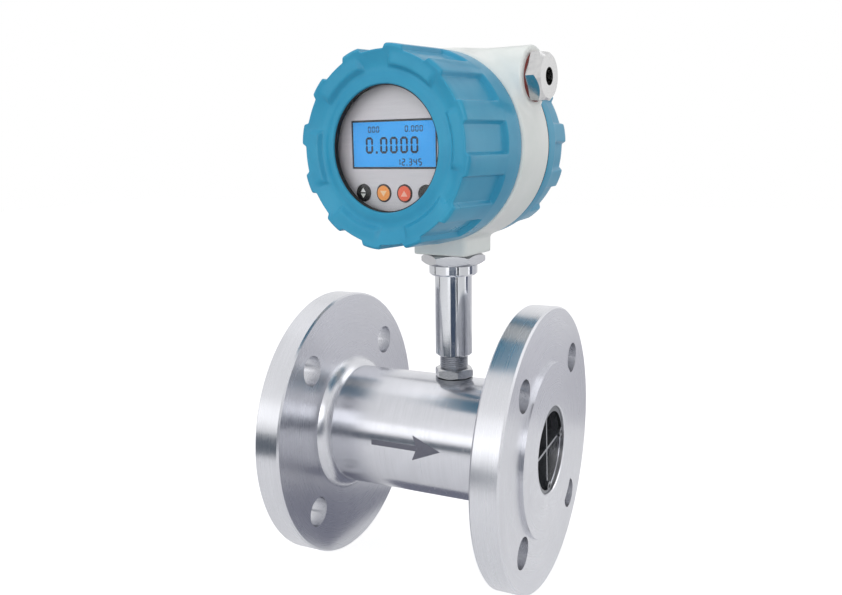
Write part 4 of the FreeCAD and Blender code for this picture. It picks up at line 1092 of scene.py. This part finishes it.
legends = {
    "key_menu": (white_ink, [symbol(UP, 1.6, 2.3, 0.35), symbol(DOWN, 1.6, 2.3, -0.35)]),
    "key_down": (peach_ink, [symbol(DOWN, 2.0, 2.9, 1.2)]),
    "key_up": (rose_ink, [symbol(UP, 2.0, 2.9, -1.5)]),
    "key_enter": (white_ink, [[(-2.1, -0.6), (-0.6, -1.7), (-0.6, 0.5)],
                              rectangle(-0.6, -0.8, 1.7, -0.4), rectangle(1.3, -0.4, 1.7, 1.4)]),
}
for key, (ink, marks) in legends.items():
    key_low, key_high = head_box(key)
    centre = (key_low[1:] + key_high[1:]) / 2
    ink_marks(key + "_legend", marks, on_head(key_high[0] + INK_LIFT, centre), ink, key)

# %% Flow arrow
SHAFT_START, SHAFT_END, BARB, NOTCH, TIP = 51.6, 80.8, 77.9, 81.0, 95.8
ARROW_ARC, SHAFT_HALF, HEAD_HALF = 2.9, 1.55, 7.4
BARB_WIDTH = 0.05
tube_radius = vertices_of("meter_tube")[:, 2].max() / MM


def on_tube(along, arc, level):
    """A point arc millimetres up round the tube from its front, level above its skin."""
    turn = arc / tube_radius
    radius = tube_radius + level
    return MM * np.stack(np.broadcast_arrays(along, -radius * np.cos(turn),
                                             radius * np.sin(turn)), -1)


def wrapped_ink(name, arcs, left, right, material, body):
    """Ink between two edges, left and right, given at each arc: a closed band of 4 columns."""
    rows = np.stack([on_tube(left, arcs, INK_LIFT), on_tube(right, arcs, INK_LIFT),
                     on_tube(right, arcs, INK), on_tube(left, arcs, INK)], 1)
    piece = grid_piece(name, rows, material, capped=True)
    piece.data.shade_flat()
    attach(piece, body)


etched = grained("acid-etched steel marking", "73747F", "696A75", 0.6, 0.5, 0.6)
share = np.linspace(-1, 1, 7)
wrapped_ink("arrow_shaft", ARROW_ARC + share * SHAFT_HALF, np.full(7, SHAFT_START),
            np.full(7, SHAFT_END), etched, "pipe")
share = np.linspace(-1, 1, 41)
wrapped_ink("arrow_head", ARROW_ARC + share * HEAD_HALF, NOTCH + (BARB - NOTCH) * np.abs(share),
            TIP + (BARB + BARB_WIDTH - TIP) * np.abs(share), etched, "pipe")

# %% [markdown]
# ## Camera, floor and light
#
# The camera stands to the right and a little above, as a catalogue photographer would, with
# a long enough lens to keep the flanges round. The floor and the backdrop are white for the
# camera and in reflections, but the floor gives the object no light of its own, and the
# backdrop only a little. A set of cards that only reflections can see, dark, grey and bright,
# gives polished steel the bands that make it read as metal.

# %% Camera
CAMERA_AZIMUTH = 26.01
CAMERA_ELEVATION = 12.46
CAMERA_ROLL = -0.93
CAMERA_DISTANCE = 499.9
CAMERA_TARGET = (67.4, 0.0, 63.8)
LENS_MM = 35.6
SENSOR_MM = 36.0
LENS_SHIFT = 0.0386
NEAR_CLIP = 0.01
azimuth = math.radians(CAMERA_AZIMUTH)
elevation = math.radians(CAMERA_ELEVATION)
back = Vector((math.sin(azimuth) * math.cos(elevation),
               -math.cos(azimuth) * math.cos(elevation), math.sin(elevation)))
level = Vector((math.cos(azimuth), math.sin(azimuth), 0))
upright = back.cross(level)
roll = math.radians(CAMERA_ROLL)
right = math.cos(roll) * level + math.sin(roll) * upright
up = math.cos(roll) * upright - math.sin(roll) * level
camera = placed("camera", bpy.data.cameras.new("camera"))
spot = MM * (Vector(CAMERA_TARGET) + back * CAMERA_DISTANCE)
camera.matrix_world = Matrix.Translation(spot) @ Matrix((right, up, back)).transposed().to_4x4()
camera.data.lens = LENS_MM
camera.data.sensor_width = SENSOR_MM
camera.data.shift_y = LENS_SHIFT
camera.data.clip_start = NEAR_CLIP
bpy.context.scene.camera = camera
bpy.context.scene.view_settings.view_transform = "Standard"
print("camera at", tuple(round(c, 3) for c in camera.location))


# %% Backdrop
WHITE = linear("FFFFFF")
SKY_LIGHT, SKY_SHOWN = 0.42, 1.0
PAPER_SHOWN, PAPER_REFLECTED = 0.75, 0.45
FLOOR_REACH = 3.0


def seen_by(tree, *kinds):
    """1 for the named kinds of ray of Light Path, 0 for any other."""
    rays = add(tree, "ShaderNodeLightPath").outputs
    seen = rays[kinds[0]]
    for kind in kinds[1:]:
        seen = add(tree, "ShaderNodeMath", {"operation": "MAXIMUM"}, _0=seen,
                   _1=rays[kind]).outputs[0]
    return seen


def sheet(name, half_width, half_height, level, material):
    """A level rectangle about the origin, in metres."""
    mesh = bpy.data.meshes.new(name)
    mesh.from_pydata([(-half_width, -half_height, level), (half_width, -half_height, level),
                      (half_width, half_height, level), (-half_width, half_height, level)],
                     [], [(0, 1, 2, 3)])
    mesh.materials.append(material)
    return placed(name, mesh)


world = bpy.data.worlds.new("studio")
bpy.context.scene.world = world
world.use_nodes = True
sky = world.node_tree
sky.nodes["Background"].inputs["Color"].default_value = WHITE
to_eyes = seen_by(sky, "Is Camera Ray", "Is Glossy Ray", "Is Transmission Ray")
add(sky, "ShaderNodeMapRange", Value=to_eyes, _3=SKY_LIGHT, _4=SKY_SHOWN,
    into=sky.nodes["Background"].inputs["Strength"])
floor_paper, paper, paper_shader = new_material("white paper sweep")
paper_shader.inputs["Base Color"].default_value = linear("C4C4C6")
paper_shader.inputs["Roughness"].default_value = 0.9
paper_shader.inputs["Emission Color"].default_value = WHITE
glow, glint = [
    add(paper, "ShaderNodeMath", {"operation": "MULTIPLY"}, _0=seen, _1=strength).outputs[0]
    for seen, strength in (
        (seen_by(paper, "Is Camera Ray"), PAPER_SHOWN),
        (seen_by(paper, "Is Glossy Ray", "Is Transmission Ray"), PAPER_REFLECTED))]
add(paper, "ShaderNodeMath", _0=glow, _1=glint, into=paper_shader.inputs["Emission Strength"])
sheet("floor", FLOOR_REACH, FLOOR_REACH, cad_low.z, floor_paper)


# %% Lights and cards
def aimed(place, aim):
    """Matrix at place that looks at aim, both in millimetres."""
    there = MM * Vector(place)
    towards = MM * Vector(aim) - there
    return Matrix.Translation(there) @ towards.to_track_quat("-Z", "Y").to_matrix().to_4x4()


def softbox(name, place, aim, width, height, watts):
    """A white rectangular studio light, unseen by the camera; millimetres."""
    lamp = bpy.data.lights.new(name, "AREA")
    lamp.shape = "RECTANGLE"
    lamp.size = width * MM
    lamp.size_y = height * MM
    lamp.energy = watts
    box = placed(name, lamp)
    box.visible_camera = False
    box.matrix_world = aimed(place, aim)
    return box


def card(name, place, aim, width, height, shade, glow=1.0):
    """A card of one even shade that only reflections see; it lights and shades nothing."""
    material, _, shader = new_material(name + " card")
    shader.inputs["Base Color"].default_value = (0, 0, 0, 1)
    shader.inputs["Roughness"].default_value = 1.0
    shader.inputs["Specular IOR Level"].default_value = 0.0
    shader.inputs["Emission Color"].default_value = linear(shade)
    shader.inputs["Emission Strength"].default_value = glow
    board = sheet(name + "_card", width * MM / 2, height * MM / 2, 0, material)
    board.matrix_world = aimed(place, aim)
    board.visible_camera = False
    board.visible_diffuse = False
    board.visible_shadow = False


middle, tube_end = (75, 0, 70), (150, 0, 0)
key = softbox("key", (-500, -900, 900), middle, 1000, 1000, 5)
key.visible_glossy = False
card("strip", (-325, -784, 230), middle, 500, 240, "FFFFFF", glow=1.6)
softbox("front", (250, -1100, 350), middle, 900, 900, 2.5)
softbox("fill", (700, -900, 250), middle, 800, 900, 2)
softbox("top", (100, 200, 1100), middle, 1000, 800, 2.5)
softbox("side", (1000, 500, 200), tube_end, 800, 900, 2.5)
# The cards are dim or grey where the steel has to read dark, and bright under its edges.
card("horizon", (10, -172, -2), (75, -36, 0), 190, 36, "46525F")
card("photographer", (202, -299, 5), (89, 0, 5), 190, 115, "3E4C62")
card("grey_front", (202, -299, 74), (89, 0, 74), 190, 22, "98A0AA")
# Painted shade: a dark sheet on the floor stands for the meter's shadow under the tube, as the
# steel reflects it.
card("floor_shade_under_tube", (78, 32, -81), (78, 32, 0), 100, 105, "7C7E8C")
card("behind_right", (620, 262, 30), (89, 0, 90), 220, 160, "5A6074")
card("far_floor", (300, 450, -80), (300, 450, 0), 600, 350, "CACAD0")
card("bright_right", (435, 400, -15), tube_end, 330, 130, "D4D4DA")
card("near_edge", (55, -317, -59), (140, -82, 0), 110, 7, "1A2430")
card("back_bar", (-93, 532, 549), (141, -20, 80), 420, 60, "1A2C38")
card("high_bar", (-22, 76, 521), (140, -42, 71), 300, 12, "3A4A56")
card("dark_left", (-700, -250, 150), middle, 90, 700, "20262E")
card("grey_right", (620, -520, 120), middle, 130, 900, "3A4048")
print("lights ready")
